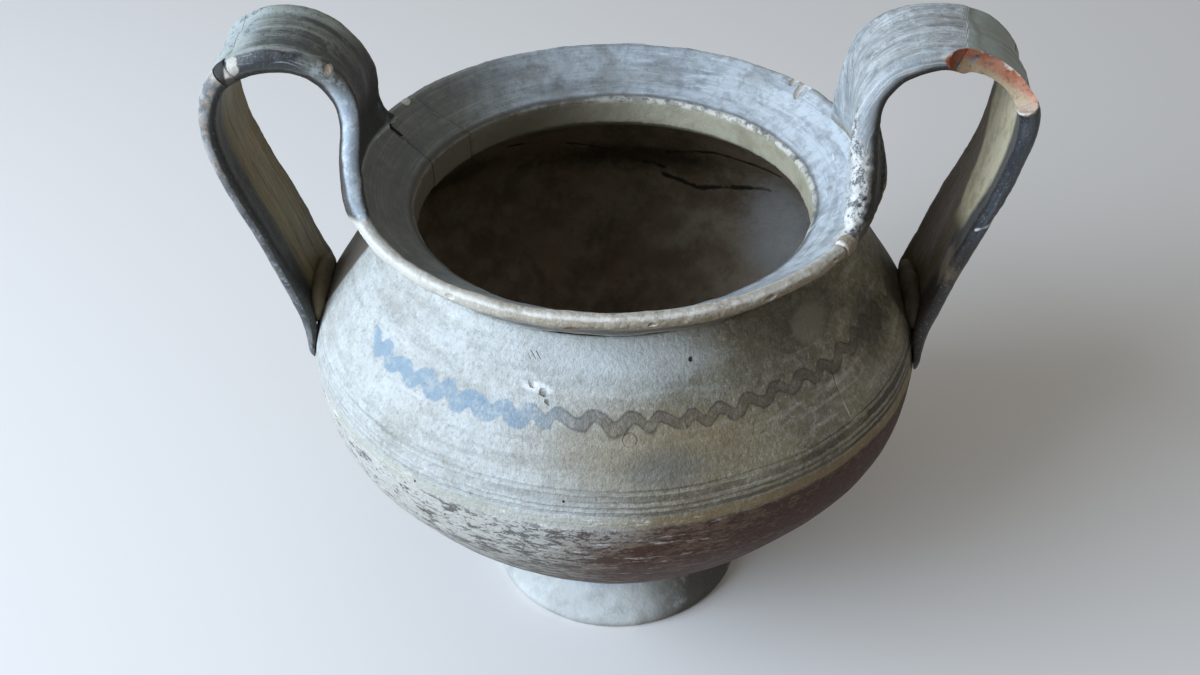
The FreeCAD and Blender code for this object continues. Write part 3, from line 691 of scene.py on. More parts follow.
def add(tree, kind, *values, out=0, **settings):
    """Add a node: the values fill its live inputs in order, sockets are linked. Give one output."""
    node = tree.nodes.new("ShaderNode" + kind)
    for setting, value in settings.items():
        setattr(node, setting, value)
    for socket, value in zip([socket for socket in node.inputs if socket.enabled], values):
        if isinstance(value, bpy.types.NodeSocket):
            tree.links.new(value, socket)
        elif value is not None:
            socket.default_value = value
    return node.outputs[out] if isinstance(out, str) else [s for s in node.outputs if s.enabled][out]


# %% [markdown]
# ### Where a point lies
# Every pattern starts from the same few measures of a point: its place, its distance from the wheel's
# axis, its turn round that axis, and the way its surface faces. On the wheel the brush stays still while
# the cup turns, so its marks are long round the cup and narrow across. Noise takes that shape when height
# and radius count for more than the way round. Height and radius are added, so it works on walls and on
# the flat flare alike.

# %% Measure where a point lies
IN_MM = 1000
DRAWN_OUT = 5.0
RAGGED_WIDTH = 3.2


def places(tree):
    """Where a point lies on the cup, in mm, and which way its surface faces."""
    here = add(tree, "VectorMath", add(tree, "TexCoord", out="Object"), IN_MM, operation="SCALE")
    at = SimpleNamespace(here=here, normal=add(tree, "NewGeometry", out="Normal"))
    at.X, at.Y, at.Z = [add(tree, "SeparateXYZ", here, out=axis) for axis in "XYZ"]
    at.facing_y, at.facing_z = [add(tree, "SeparateXYZ", at.normal, out=axis) for axis in "YZ"]
    level = add(tree, "VectorMath", here, (1, 1, 0), operation="MULTIPLY")
    at.radius = add(tree, "VectorMath", level, operation="LENGTH", out="Value")
    at.turn = add(tree, "Math", at.Y, at.X, operation="ARCTAN2")
    outward = add(tree, "VectorMath", level, operation="NORMALIZE")
    at.facing_out = add(tree, "VectorMath", at.normal, outward, operation="DOT_PRODUCT", out="Value")
    height_and_radius = add(tree, "Math", at.Z, at.radius, operation="ADD")
    stretched = add(tree, "Math", height_and_radius, DRAWN_OUT, operation="MULTIPLY")
    at.round = add(tree, "CombineXYZ", at.X, at.Y, stretched)
    # Ragged runs from about -0.3 to 0.3 and tears the edges of spots and scratches
    clouds = add(tree, "TexNoise", here, 1 / RAGGED_WIDTH, 6, 0.72, out="Fac")
    at.ragged = add(tree, "Math", clouds, 0.5, operation="SUBTRACT")
    return at


# %% [markdown]
# ### Patches, bands, spots and scratches
# Each pattern is a mask: 1 where it is, 0 where it isn't. Patches come from cloudy noise that is cut at a
# level, like slip that has worn off in spots. A band is a soft-edged stripe between two values. A spot
# and a scratch sit at one place on the cup: that is how single stains, chips and hairline cracks are put
# where they belong. One mask limits another when the two are multiplied.

# %% Join and turn masks
NOISE_TOP = 0.66
NOISE_SPAN = 0.32


def both(tree, *masks):
    """1 only where all these masks are 1."""
    cover = masks[0]
    for mask in masks[1:]:
        cover = add(tree, "Math", cover, mask, operation="MULTIPLY")
    return cover


def either(tree, *masks):
    """1 where any of these masks is 1."""
    cover = masks[0]
    for mask in masks[1:]:
        cover = add(tree, "Math", cover, mask, operation="MAXIMUM")
    return cover


def all_but(tree, mask):
    """1 where the mask is 0, and 0 where it is 1."""
    return add(tree, "Math", 1.0, mask, operation="SUBTRACT")


def torn(tree, at, value, tear):
    """The value made ragged, so that an edge drawn at one level of it isn't cut clean."""
    return add(tree, "Math", at.ragged, tear, value, operation="MULTIPLY_ADD")


# %% Patches, bands, spots and scratches
def slide(tree, value, start, end):
    """0 up to the first value, 1 from the second, and a soft slide between them."""
    return add(tree, "MapRange", value, start, end, 0, 1, interpolation_type="SMOOTHSTEP")


def patches(tree, place, width, share, edge=0.05, detail=5, rough=0.6, bend=0.0):
    """Ragged patches of about this width in mm, covering about this share."""
    clouds = add(tree, "TexNoise", place, 1 / width, detail, rough, 2.0, bend, out="Fac")
    level = NOISE_TOP - NOISE_SPAN * share
    return slide(tree, clouds, level - edge, level + edge)


def band(tree, value, low, high, soft):
    """1 between the two values and 0 outside, with edges as soft as given."""
    above, below = slide(tree, value, low - soft, low + soft), slide(tree, value, high + soft, high - soft)
    return both(tree, above, below)


def spot(tree, at, place, half_size, soft=0.3, tear=1.0):
    """1 round this place in mm and 0 beyond this half size along X, Y and Z, with a torn edge."""
    away = add(tree, "VectorMath", at.here, place, operation="SUBTRACT")
    away = add(tree, "VectorMath", away, half_size, operation="DIVIDE")
    away = add(tree, "VectorMath", away, operation="LENGTH", out="Value")
    return slide(tree, torn(tree, at, away, tear), 1 + soft, 1 - soft)


def scratch(tree, at, width, *path, soft=0.5, tear=0.6):
    """1 along the path through these places in mm, as wide as given to either side, and 0 elsewhere."""
    nearest = None
    for start, end in zip(path[:-1], path[1:]):
        run = Vector(end) - Vector(start)
        away = add(tree, "VectorMath", at.here, start, operation="SUBTRACT")
        share = tuple(run / run.length_squared)
        share = add(tree, "VectorMath", away, share, operation="DOT_PRODUCT", out="Value")
        share = add(tree, "Math", share, 0, operation="ADD", use_clamp=True)
        foot_point = add(tree, "VectorMath", tuple(run), share, operation="SCALE")
        distance = add(tree, "VectorMath", away, foot_point, operation="DISTANCE", out="Value")
        nearest = distance if nearest is None else add(tree, "Math", nearest, distance, operation="MINIMUM")
    return slide(tree, torn(tree, at, nearest, tear), width * (1 + soft), width * (1 - soft))


# %% [markdown]
# ### Coats and relief
# A finish is painted as the real one grew, coat over coat: each coat has a colour, a strength and the
# masks that limit it. Relief too fine to model goes into the bump. A finish is made by one function,
# which the cell then calls, and it is given to its pieces at once.

# %% Lay coats, raise relief and give a finish
def over(tree, ground, *layers):
    """Lay coats over a ground colour: each is (colour or colour socket, strength, masks that limit it...)."""
    for colour, strength, *masks in layers:
        cover = add(tree, "Math", both(tree, *masks), strength, operation="MULTIPLY", use_clamp=True)
        colour = paint(colour) if isinstance(colour, str) else colour
        ground = add(tree, "Mix", cover, ground, colour, data_type="RGBA")
    return ground


def stained(tree, at, ground, stains):
    """Lay single spots over a ground, stains and some painted light: each is (colour, strength, place, half
    size, softness, tear).
    """
    layers = [(colour, strength, spot(tree, at, *where)) for colour, strength, *where in stains]
    return over(tree, ground, *layers)


def relief(tree, *heights):
    """A bump from heights in mm: each is (pattern, height)."""
    total = None
    for pattern, height in heights:
        part = add(tree, "Math", pattern, height, operation="MULTIPLY")
        total = part if total is None else add(tree, "Math", total, part, operation="ADD")
    return add(tree, "Bump", 1.0, MM, None, total)


def new_finish(name, roughness):
    """A new material of one roughness, with its node tree."""
    finish = bpy.data.materials.new(name)
    finish.use_nodes = True
    shader = finish.node_tree.nodes["Principled BSDF"]
    shader.inputs["Roughness"].default_value = roughness
    shader.inputs["IOR"].default_value = 1.5
    return finish, finish.node_tree


def give(finish, pieces, colour, bump=None, shine=None):
    """Link the colour, the bump and a varying roughness to the finish, and give it to these pieces."""
    shader = finish.node_tree.nodes["Principled BSDF"]
    for socket, value in (("Base Color", colour), ("Normal", bump), ("Roughness", shine)):
        if value:
            finish.node_tree.links.new(value, shader.inputs[socket])
    for name in pieces:
        bpy.data.objects[name].data.materials.append(finish)
    print(finish.name, "on", ", ".join(pieces))


# %% [markdown]
# ### The grey slip
# Slip is thin liquid clay, brushed on before the firing. Fired in smoke it turned grey: pale and bluish
# where it is thick, olive where the clay shows through. From left to right it is also painted from pale
# and bluish to more brown and darker, partly its own tone and partly painted light and shade: a painted
# reflection of the window lamp at the left and painted shade at the right. It is shared by the bowl and the
# rim, so it is a function that gives the colour for either of them. The brush left fine lines round the cup,
# about half a millimetre apart. The clay's own grain is finer than a picture of the whole cup can show, so
# it is drawn about a millimetre wide.

# %% Mix the grey slip
GRAIN_WIDTH = 0.95


def grey_slip(tree, at):
    """The colour of the slip on the upper cup, before the painted lines."""
    # From left to right the slip turns more brown and darker: partly its own olive tone, partly painted
    # shade.
    drift = add(tree, "TexNoise", at.here, 1 / 40, 3, 0.55, out="Fac")
    shifted = add(tree, "Math", at.X, add(tree, "Math", drift, 70, operation="MULTIPLY"), operation="ADD")
    at.browner = slide(tree, shifted, 8, 54)
    at.grain = add(tree, "TexNoise", at.here, 1 / GRAIN_WIDTH, 4, 0.72, out="Fac")
    lines = add(tree, "VectorMath", at.round, (0.035, 0.035, 0.36), operation="MULTIPLY")
    at.brushed = add(tree, "TexNoise", lines, 1.0, 4, 0.62, out="Fac")
    ground = add(tree, "Mix", at.browner, paint("#C0C6C3"), paint("#857C62"), data_type="RGBA")
    return over(
        tree, ground,
        ("#9D9B8F", 0.50, patches(tree, at.here, 30, 0.36, 0.12)),
        ("#757162", 0.55, patches(tree, at.here, 21, 0.45, 0.10, 6, 0.65), at.browner),
        ("#A0997F", 0.45, patches(tree, at.here, 13, 0.34, 0.07, 6, 0.65), at.browner),
        # Pale bluish patches at the left: partly the slip, partly a painted reflection of the window lamp.
        ("#D5DCDC", 0.40, patches(tree, at.here, 20, 0.45, 0.12, 6, 0.65), all_but(tree, at.browner)),
        ("#7B7A72", 0.30, slide(tree, at.brushed, 0.52, 0.66)),
        ("#DDE0DC", 0.28, slide(tree, at.brushed, 0.47, 0.34)),
        ("#6F6B60", 0.26, patches(tree, at.here, 3.6, 0.42, 0.10, 6, 0.75)),
        ("#C9C7BC", 0.26, patches(tree, at.here, 2.2, 0.42, 0.09, 6, 0.75)),
        ("#45413A", 0.36, slide(tree, at.grain, 0.53, 0.70)),
        ("#E8EAE6", 0.36, slide(tree, at.grain, 0.46, 0.30)))


# %% [markdown]
# ### The painted lines of the bowl
# Round the shoulder runs a wavy line of darker slip, drawn with a full brush while the cup turned, so it
# is a thick line with round lobes, a little uneven. The sine of the turn gives the waves. Below the belly
# a few thin lines go round. They are dark at the right and worn to scratches at the left.

# %% Draw the wavy line
WAVES_PER_TURN = 60
WAVE_HEIGHT = 0.85
WAVE_STROKE = 1.2
WAVE_LEVEL = 98.5
WAVE_RADIUS = 66.0
WAVE_ENDS = (-53, 66)


def wavy_line(tree, at):
    """The painted wave as two masks: the whole stroke, and its darker rim."""
    uneven = add(tree, "TexNoise", at.here, 1 / 13, 2, 0.5, out="Fac")
    phase = add(tree, "Math", at.turn, WAVES_PER_TURN, operation="MULTIPLY")
    phase = add(tree, "Math", uneven, 7.0, phase, operation="MULTIPLY_ADD")
    drift = add(tree, "TexNoise", at.here, 1 / 24, 1, 0.5, out="Fac")
    height = add(tree, "Math", drift, 4.0, WAVE_LEVEL, operation="MULTIPLY_ADD")
    height = add(tree, "Math", height, add(tree, "MapRange", at.X, 56, 68, 0, 3.4), operation="SUBTRACT")
    height = add(tree, "Math", height, add(tree, "MapRange", at.X, -44, -54, 0, 1.4), operation="ADD")
    sine = add(tree, "Math", phase, operation="SINE")
    wave = add(tree, "Math", sine, WAVE_HEIGHT, height, operation="MULTIPLY_ADD")
    off = add(tree, "Math", add(tree, "Math", at.Z, wave, operation="SUBTRACT"), operation="ABSOLUTE")
    # On its flanks the line runs aslant, so the way up is longer there than the way straight across
    steep = WAVE_HEIGHT * WAVES_PER_TURN / WAVE_RADIUS
    slope = add(tree, "Math", add(tree, "Math", phase, operation="COSINE"), steep, operation="MULTIPLY")
    longer = add(tree, "Math", slope, slope, 1.0, operation="MULTIPLY_ADD")
    longer = add(tree, "Math", longer, operation="SQRT")
    off = torn(tree, at, add(tree, "Math", off, longer, operation="DIVIDE"), 1.1)
    # At the left the brush was full and pressed harder, so the line is thicker there
    off = add(tree, "Math", off, add(tree, "MapRange", at.X, -8, -20, 0, 0.55), operation="SUBTRACT")
    ends = band(tree, at.X, *WAVE_ENDS, 0.7)
    stroke = both(tree, slide(tree, off, WAVE_STROKE + 0.3, WAVE_STROKE - 0.3), ends)
    rim = both(tree, band(tree, off, WAVE_STROKE - 0.42, WAVE_STROKE - 0.05, 0.12), ends)
    return stroke, rim


# %% Draw the thin lines
THIN_LINES = ((84.4, 85.3), (86.0, 86.5), (87.4, 88.8), (89.6, 89.9))


def uneven_height(tree, at):
    """Height on the cup, drifting by a millimetre or two as a hand does that holds a brush to the wheel."""
    wobble = add(tree, "TexNoise", at.here, 1 / 40, 1, out="Fac")
    return add(tree, "Math", wobble, 1.6, at.Z, operation="MULTIPLY_ADD")


def thin_lines(tree, at):
    """Thin painted lines between these heights in mm."""
    height = torn(tree, at, uneven_height(tree, at), 0.9)
    return either(tree, *[band(tree, height, low, high, 0.18) for low, high in THIN_LINES])


# %% [markdown]
# ### The worn lower bowl
# Under a pale strip the slip was dark brown, and it has worn to stretched flakes that show the buff clay.
# Two sizes of noise make the flakes. They grow together downwards, where the slip has held, and towards the
# right, where the flakes and the buff clay under them are also painted darker as shade.

# %% Wear the dark slip
PALE_STRIP = (81.4, 84.0)
DARK_SLIP_TOP = (82.0, 80.2)


def worn_dark_slip(tree, at):
    """Masks of the lower bowl: its pale strip, all that lies under it, and the flakes of slip left there."""
    shaggy = torn(tree, at, uneven_height(tree, at), 2.6)
    at_left = slide(tree, at.X, 5, -55)
    less_drawn_out = add(tree, "VectorMath", at.round, (2.2, 2.2, 1.0), operation="MULTIPLY")
    flakes = add(tree, "TexNoise", less_drawn_out, 1 / 13, 10, 0.78, 2.0, 0.3, out="Fac")
    # More flakes towards the right: partly painted shade.
    flakes = add(tree, "Math", slide(tree, at.X, 15, 55), 0.06, flakes, operation="MULTIPLY_ADD")
    flakes = add(tree, "Math", flakes, add(tree, "MapRange", at.Z, 81, 52, 0.0, 0.065), operation="ADD")
    flakes = add(tree, "Math", at_left, -0.045, flakes, operation="MULTIPLY_ADD")
    crumbs = add(tree, "TexNoise", less_drawn_out, 1 / 5, 7, 0.78, out="Fac")
    crumbs = add(tree, "Math", at_left, -0.05, crumbs, operation="MULTIPLY_ADD")
    left_over = either(tree, slide(tree, flakes, 0.525, 0.56), slide(tree, crumbs, 0.53, 0.60))
    return band(tree, shaggy, *PALE_STRIP, 0.7), slide(tree, shaggy, *DARK_SLIP_TOP), left_over


# %% [markdown]
# ### The bowl
# Matt slip outside, stained and a little rubbed, with the painted lines and the worn zone laid over it.
# Inside, the bare wall is brown and dusty, and the mended cracks show as dark lines. One mask tells
# inside from outside by the way the surface faces, so the whole bowl is one finish.

# %% Stain the shoulder, paint a highlight on the belly, and darken the inside, with painted light and shade
SHOULDER_STAINS = (
    ("#66706F", 0.34, (20, -57, 106), (12, 9, 5), 0.6),
    ("#8A7C5F", 0.60, (12, -66, 96), (24, 14, 7), 0.7),
    ("#5F6468", 0.50, (13, -69, 92.5), (9, 8, 3.5), 0.6),
    ("#CBD5D8", 0.60, (5, -60, 113), (20, 12, 6), 0.6, 1.5),
    ("#4C4335", 0.50, (36, -47, 110), (13, 12, 8), 0.7, 2.0),
    ("#37352F", 0.65, (60, -28, 101), (7, 9, 7), 0.5, 2.0),
    ("#4C483D", 0.55, (46, -38, 110), (16, 12, 4), 0.5, 2.0),
    ("#9B9683", 0.55, (44, -39, 109), (5, 6, 3.5), 0.3, 1.5),
    ("#E9EDEC", 0.75, (-14, -59, 106), (3.0, 4, 1.0), 0.3, 2.2),
    # A pale bluish patch low on the belly front: a painted highlight.
    ("#DDE6E8", 0.50, (-8, -74, 80), (13, 6, 5), 0.6, 2.0),
)
INSIDE_STAINS = (
    # A pale bluish patch on the back wall at the right: painted light of the window lamp.
    ("#9AA1A3", 0.55, (46, 52, 72), (10, 14, 16), 0.6, 1.0),
    ("#2F251C", 0.80, (4, 66, 87), (26, 10, 5), 0.7, 2.0),
    ("#3A2F25", 0.70, (-44, 46, 92), (14, 14, 4), 0.6, 2.0),
)
INSIDE_CRACKS = (
    ((-31, 53, 99), (-11.7, 64.2, 92.9), (-2.4, 67.5, 88.8), (5.5, 69.1, 84.5), (12.2, 69.1, 83.0)),
    ((13.3, 65.9, 89.5), (26.2, 59.4, 93.4), (35.6, 54.5, 93.2), (44.4, 48.1, 92.6)),
    ((12.3, 70.1, 80.3), (22.4, 67.2, 77.3), (31.8, 63.7, 79.6), (40.9, 56.9, 82.9), (49.8, 48.7, 83.8)),
)


def inside_colour(tree, at):
    """Bare brown clay with dust, stains, the mended cracks and painted light, paler under the neck at the
    right, with painted shade at the left.
    """
    under_neck = slide(tree, at.Z, 100, 110)
    cracks = either(tree, *[scratch(tree, at, 0.65, *path, soft=0.6, tear=2.4) for path in INSIDE_CRACKS])
    mottled = patches(tree, at.here, 30, 0.5, 0.14)
    dusty = over(
        tree, add(tree, "Mix", mottled, paint("#80705A"), paint("#64543F"), data_type="RGBA"),
        ("#A09583", 0.45, patches(tree, at.here, 16, 0.38, 0.12, 6, 0.7)),
        ("#4B4034", 0.50, patches(tree, at.here, 11, 0.26, 0.09, 6, 0.7)))
    return over(
        tree, stained(tree, at, dusty, INSIDE_STAINS),
        # Under the neck: cream towards the right, partly painted light, and darker towards the left as
        # painted shade.
        ("#A9A693", 0.70, under_neck, slide(tree, at.X, -40, 20)),
        ("#4F4738", 0.80, under_neck, slide(tree, at.X, 18, -28)),
        ("#120C08", 0.92, cracks))


# %% Finish of the bowl
def bowl_finish():
    """Worn grey slip with its painted lines: matt, faintly ridged by the wheel."""
    finish, tree = new_finish("worn_grey_slip", 0.60)
    tree.nodes["Principled BSDF"].inputs["Specular IOR Level"].default_value = 0.3
    at = places(tree)
    slip = over(
        tree, stained(tree, at, grey_slip(tree, at), SHOULDER_STAINS),
        # Under the lower end of each handle the wall is painted dark brown: partly bare clay, partly painted
        # shade.
        ("#54483A", 0.88, band(tree, at.Y, -11, 13, 0.8), slide(tree, at.X, -54, -57)),
        ("#3E362C", 0.75, band(tree, at.Y, -13, 13, 1.5), slide(tree, at.X, 62, 68)))
    stroke, stroke_rim = wavy_line(tree, at)
    rubbed = slide(tree, add(tree, "TexNoise", at.here, 1 / 3.5, 7, 0.78, out="Fac"), 0.36, 0.54)
    rubbed = add(tree, "Math", rubbed, 0.55, 0.45, operation="MULTIPLY_ADD")
    # The wave is painted blue at the left: a painted reflection of the window lamp on the line.
    blue_end = slide(tree, at.X, 2, -22)
    grey_end = all_but(tree, blue_end)
    lines = thin_lines(tree, at)
    broken = slide(tree, add(tree, "TexNoise", at.round, 1 / 26, 5, 0.7, out="Fac"), 0.30, 0.62)
    at_right = add(tree, "MapRange", at.X, -30, 50, 0.10, 1)
    strip, lower, flakes = worn_dark_slip(tree, at)
    # Towards the right the strip, the buff clay and the dark slip are painted darker, partly as shade.
    strip_colour = add(tree, "Mix", at.browner, paint("#B9BAA8"), paint("#8F774C"), data_type="RGBA")
    buff_clay = add(tree, "Mix", at.browner, paint("#C8C8BF"), paint("#5C2C0A"), data_type="RGBA")
    dark_slip = add(tree, "Mix", at.browner, paint("#4C4843"), paint("#391603"), data_type="RGBA")
    body_crack = scratch(tree, at, 0.28, *BODY_CRACK, tear=0.5)
    outside_colour = over(
        tree, slip,
        ("#7191A8", 0.72, stroke, rubbed, blue_end),
        ("#544D46", 0.60, stroke, rubbed, grey_end),
        ("#3E3B36", 0.50, stroke_rim, rubbed, grey_end),
        ("#332E28", 0.85, lines, broken, at_right),
        (strip_colour, 0.55, strip),
        (buff_clay, 0.72, lower),
        (dark_slip, 0.82, lower, flakes),
        ("#5E4F42", 0.62, lower, slide(tree, at.Z, 56, 40)),
        # Small white patches on the upper belly at the left: painted glints of light.
        ("#EDEFEB", 0.75, slide(tree, at.Z, 86, 82), patches(tree, at.round, 7, 0.20, 0.03, 9, 0.78),
         slide(tree, at.X, 45, 5)),
        ("#D9D6C9", 0.75, body_crack))
    # The wall faces the axis inside, and the floor of the cup faces up
    floor_up = add(tree, "Math", at.facing_z, add(tree, "MapRange", at.Z, 55, 60, 1, 0), operation="MULTIPLY")
    is_inside = either(tree, slide(tree, at.facing_out, -0.02, -0.06), slide(tree, floor_up, 0.2, 0.3))
    is_outside = all_but(tree, is_inside)
    colour = add(tree, "Mix", is_inside, outside_colour, inside_colour(tree, at), data_type="RGBA")
    wheel_lines = add(tree, "VectorMath", at.round, (0.04, 0.04, 0.22), operation="MULTIPLY")
    wheel_lines = add(tree, "TexNoise", wheel_lines, 1.0, 3, 0.6, out="Fac")
    dents = add(tree, "TexNoise", at.here, 1 / 1.9, 4, 0.65, out="Fac")
    bump = relief(
        tree, (at.grain, 0.22), (both(tree, wheel_lines, is_outside), 0.20), (dents, 0.20),
        (both(tree, at.brushed, is_outside), 0.10), (both(tree, lines, is_outside), -0.14),
        (both(tree, flakes, lower, is_outside), 0.14), (stroke, 0.02), (body_crack, -0.15))
    give(finish, ["thrown_bowl"], colour, bump)


bowl_finish()

# %% [markdown]
# ### The straps: where on the strap a point lies
# The straps carry the darkest slip, burnished with a pebble along their length until it shone, so their
# marks run lengthwise. To lay them so, a point is compared with the middle of the loop: the side of the
# strap that faces away from it is the outer face, the side towards it the inner face. Low down the legs
# lean inwards, so the middle moves inwards as well.

# %% Find the faces, the edges and the legs of a strap
LOOP_MIDDLE = 74
LOOP_MIDDLE_LOW = 58
LOOP_HEIGHT = 132
LOW_HEIGHT = 95


def strap_places(tree, at):
    """Masks of the faces, edges and legs of the straps, and their lengthwise streaks."""
    on = SimpleNamespace()
    across = add(tree, "Math", at.X, operation="ABSOLUTE")
    sign = add(tree, "Math", at.X, operation="SIGN")
    loop_middle = add(tree, "MapRange", at.Z, LOOP_HEIGHT, LOW_HEIGHT, LOOP_MIDDLE, LOOP_MIDDLE_LOW)
    sideways = add(tree, "Math", across, loop_middle, operation="SUBTRACT")
    sideways = add(tree, "Math", sideways, sign, operation="MULTIPLY")
    above = add(tree, "Math", at.Z, LOOP_HEIGHT, operation="SUBTRACT")
    lower_down = add(tree, "Math", above, 0.35, operation="MULTIPLY")
    above = add(tree, "Math", above, lower_down, operation="MAXIMUM")
    from_loop = add(tree, "VectorMath", add(tree, "CombineXYZ", sideways, 0.0, above), operation="NORMALIZE")
    on.away = add(tree, "VectorMath", from_loop, at.normal, operation="DOT_PRODUCT", out="Value")
    # Lengthwise marks lie side by side across the width, and round the edge from one face to the other
    across_strap = add(tree, "Math", on.away, 5.0, at.Y, operation="MULTIPLY_ADD")
    on.along = add(tree, "CombineXYZ", add(tree, "Math", at.X, 0.07, operation="MULTIPLY"), across_strap,
                   add(tree, "Math", at.Z, 0.07, operation="MULTIPLY"))
    on.streaks = add(tree, "TexNoise", on.along, 0.85, 5, 0.66, 2.0, 0.2, out="Fac")
    on.pale_streaks = slide(tree, on.streaks, 0.52, 0.64)
    on.dark_streaks = slide(tree, on.streaks, 0.46, 0.35)
    on.outer_face = slide(tree, on.away, 0.05, 0.40)
    on.inner_face = slide(tree, on.away, -0.15, -0.45)
    on.near_edge = both(tree, slide(tree, at.facing_y, -0.30, -0.72), all_but(tree, on.inner_face))
    on.inner_leg = slide(tree, across, 68, 62)
    leaning = add(tree, "Math", across, add(tree, "MapRange", at.Z, 135, LOW_HEIGHT, 0, 20), operation="ADD")
    on.outer_leg = slide(tree, leaning, 82, 86)
    on.crown = all_but(tree, add(tree, "Math", on.inner_leg, on.outer_leg, operation="ADD", use_clamp=True))
    return on


# %% [markdown]
# ### The left strap
# It is grey-green on its crown and paler at its left end, which faces the window lamp: painted light. Its
# near edge is nearly black, and the side of its inner leg that faces the pot is dark, partly painted shade.
# Its inner face is cream clay with brown streaks. A pale nick and a dark one lie beside the chip in its edge.

# %% Mix the coat of the left strap
def left_strap_coat(tree, at, on):
    """The colour of the left strap."""
    worn = patches(tree, at.here, 2.6, 0.42, 0.05, 7, 0.75)
    middle = band(tree, at.Y, -7.5, 10.5, 2.5)
    low_leg = slide(tree, at.Z, 126, 112)
    return over(
        tree, paint("#828883"),
        # Paler at the left end, which faces the window lamp: painted light.
        ("#B9C4C3", 0.85, on.outer_face, slide(tree, at.X, -70, -82)),
        ("#B2B9B3", 0.65, on.outer_face, patches(tree, on.along, 8, 0.42, 0.07, 7, 0.7)),
        ("#34383A", 0.80, on.outer_face, patches(tree, on.along, 6, 0.42, 0.06, 7, 0.7),
         slide(tree, at.X, -82, -74)),
        ("#97A190", 0.50, on.outer_face, patches(tree, at.here, 4.5, 0.36, 0.06, 7, 0.75)),
        ("#3B3F40", 0.60, on.outer_face, patches(tree, at.here, 2.2, 0.26, 0.04, 6, 0.75)),
        # Dark on the side of the inner leg that faces the pot: dark slip and painted shade.
        ("#2F2B26", 0.90, on.outer_face, on.inner_leg, slide(tree, at.Z, 158, 148)),
        ("#282C31", 0.90, on.near_edge, on.crown),
        ("#B9C2C6", 0.60, on.near_edge, on.crown, slide(tree, on.streaks, 0.58, 0.64)),
        ("#AEBDC9", 0.80, on.near_edge, on.inner_leg, slide(tree, at.Z, 154, 149)),
        ("#D5DEE3", 0.55, on.near_edge, on.inner_leg, worn),
        ("#9A9EA0", 0.80, on.near_edge, on.outer_leg),
        ("#C9B4A4", 0.50, on.near_edge, on.outer_leg, patches(tree, at.here, 2.6, 0.26, 0.04, 6, 0.7)),
        ("#3F4146", 0.70, on.near_edge, on.outer_leg, patches(tree, at.here, 5, 0.50, 0.05, 7, 0.75)),
        ("#2A2A2C", 0.70, on.near_edge, slide(tree, at.Z, 134, 118), on.outer_leg),
        ("#1E1914", 0.92, on.inner_face),
        ("#96875F", 0.92, on.inner_face, middle),
        ("#B8AA82", 0.60, on.inner_face, middle, on.pale_streaks),
        ("#4A3F2E", 0.65, on.inner_face, middle, on.dark_streaks),
        ("#B9C6D2", 0.45, on.near_edge, low_leg, patches(tree, at.here, 1.6, 0.22, 0.04, 6, 0.78)),
        ("#B09A80", 0.55, on.near_edge, on.outer_leg, slide(tree, at.Z, 126, 134), worn),
        ("#CBC6BA", 0.92, spot(tree, at, (-80.4, -15.9, 157.6), (1.4, 1.6, 1.9), 0.15, 2.4)),
        ("#14120F", 0.95, spot(tree, at, (-82.6, -15.4, 156.7), (1.1, 1.6, 1.9), 0.15, 0.9)))


# %% [markdown]
# ### The right strap
# It is pale blue-grey, partly its slip and partly a painted reflection of the window lamp, with lime crust
# on its root and a cream patch inside its outer leg; beyond the patch that face is partly painted shade, and
# the near edge of the outer leg has painted blue highlights. Past the first break the fragment of the crown
# is greener. Where its near edge broke off the raw clay shows, darker before the break and pinker beyond it.

# %% Mix the coat of the right strap
ROOT_SHADE = ((58.0, -21.0, 134), (56.0, -24.6, 131.2), (54.3, -26.4, 128.3), (52.7, -28.4, 126.3),
              (51.2, -31.4, 125.4))
LEG_SCRATCH = ((81.9, -17.4, 118.9), (84.2, -17.4, 119.9), (86.0, -16.4, 121.6))
CROWN_SCUFF = ((53.5, -15, 148.5), (59, -15, 155), (66, -15, 158.8), (72, -14.5, 160.4))


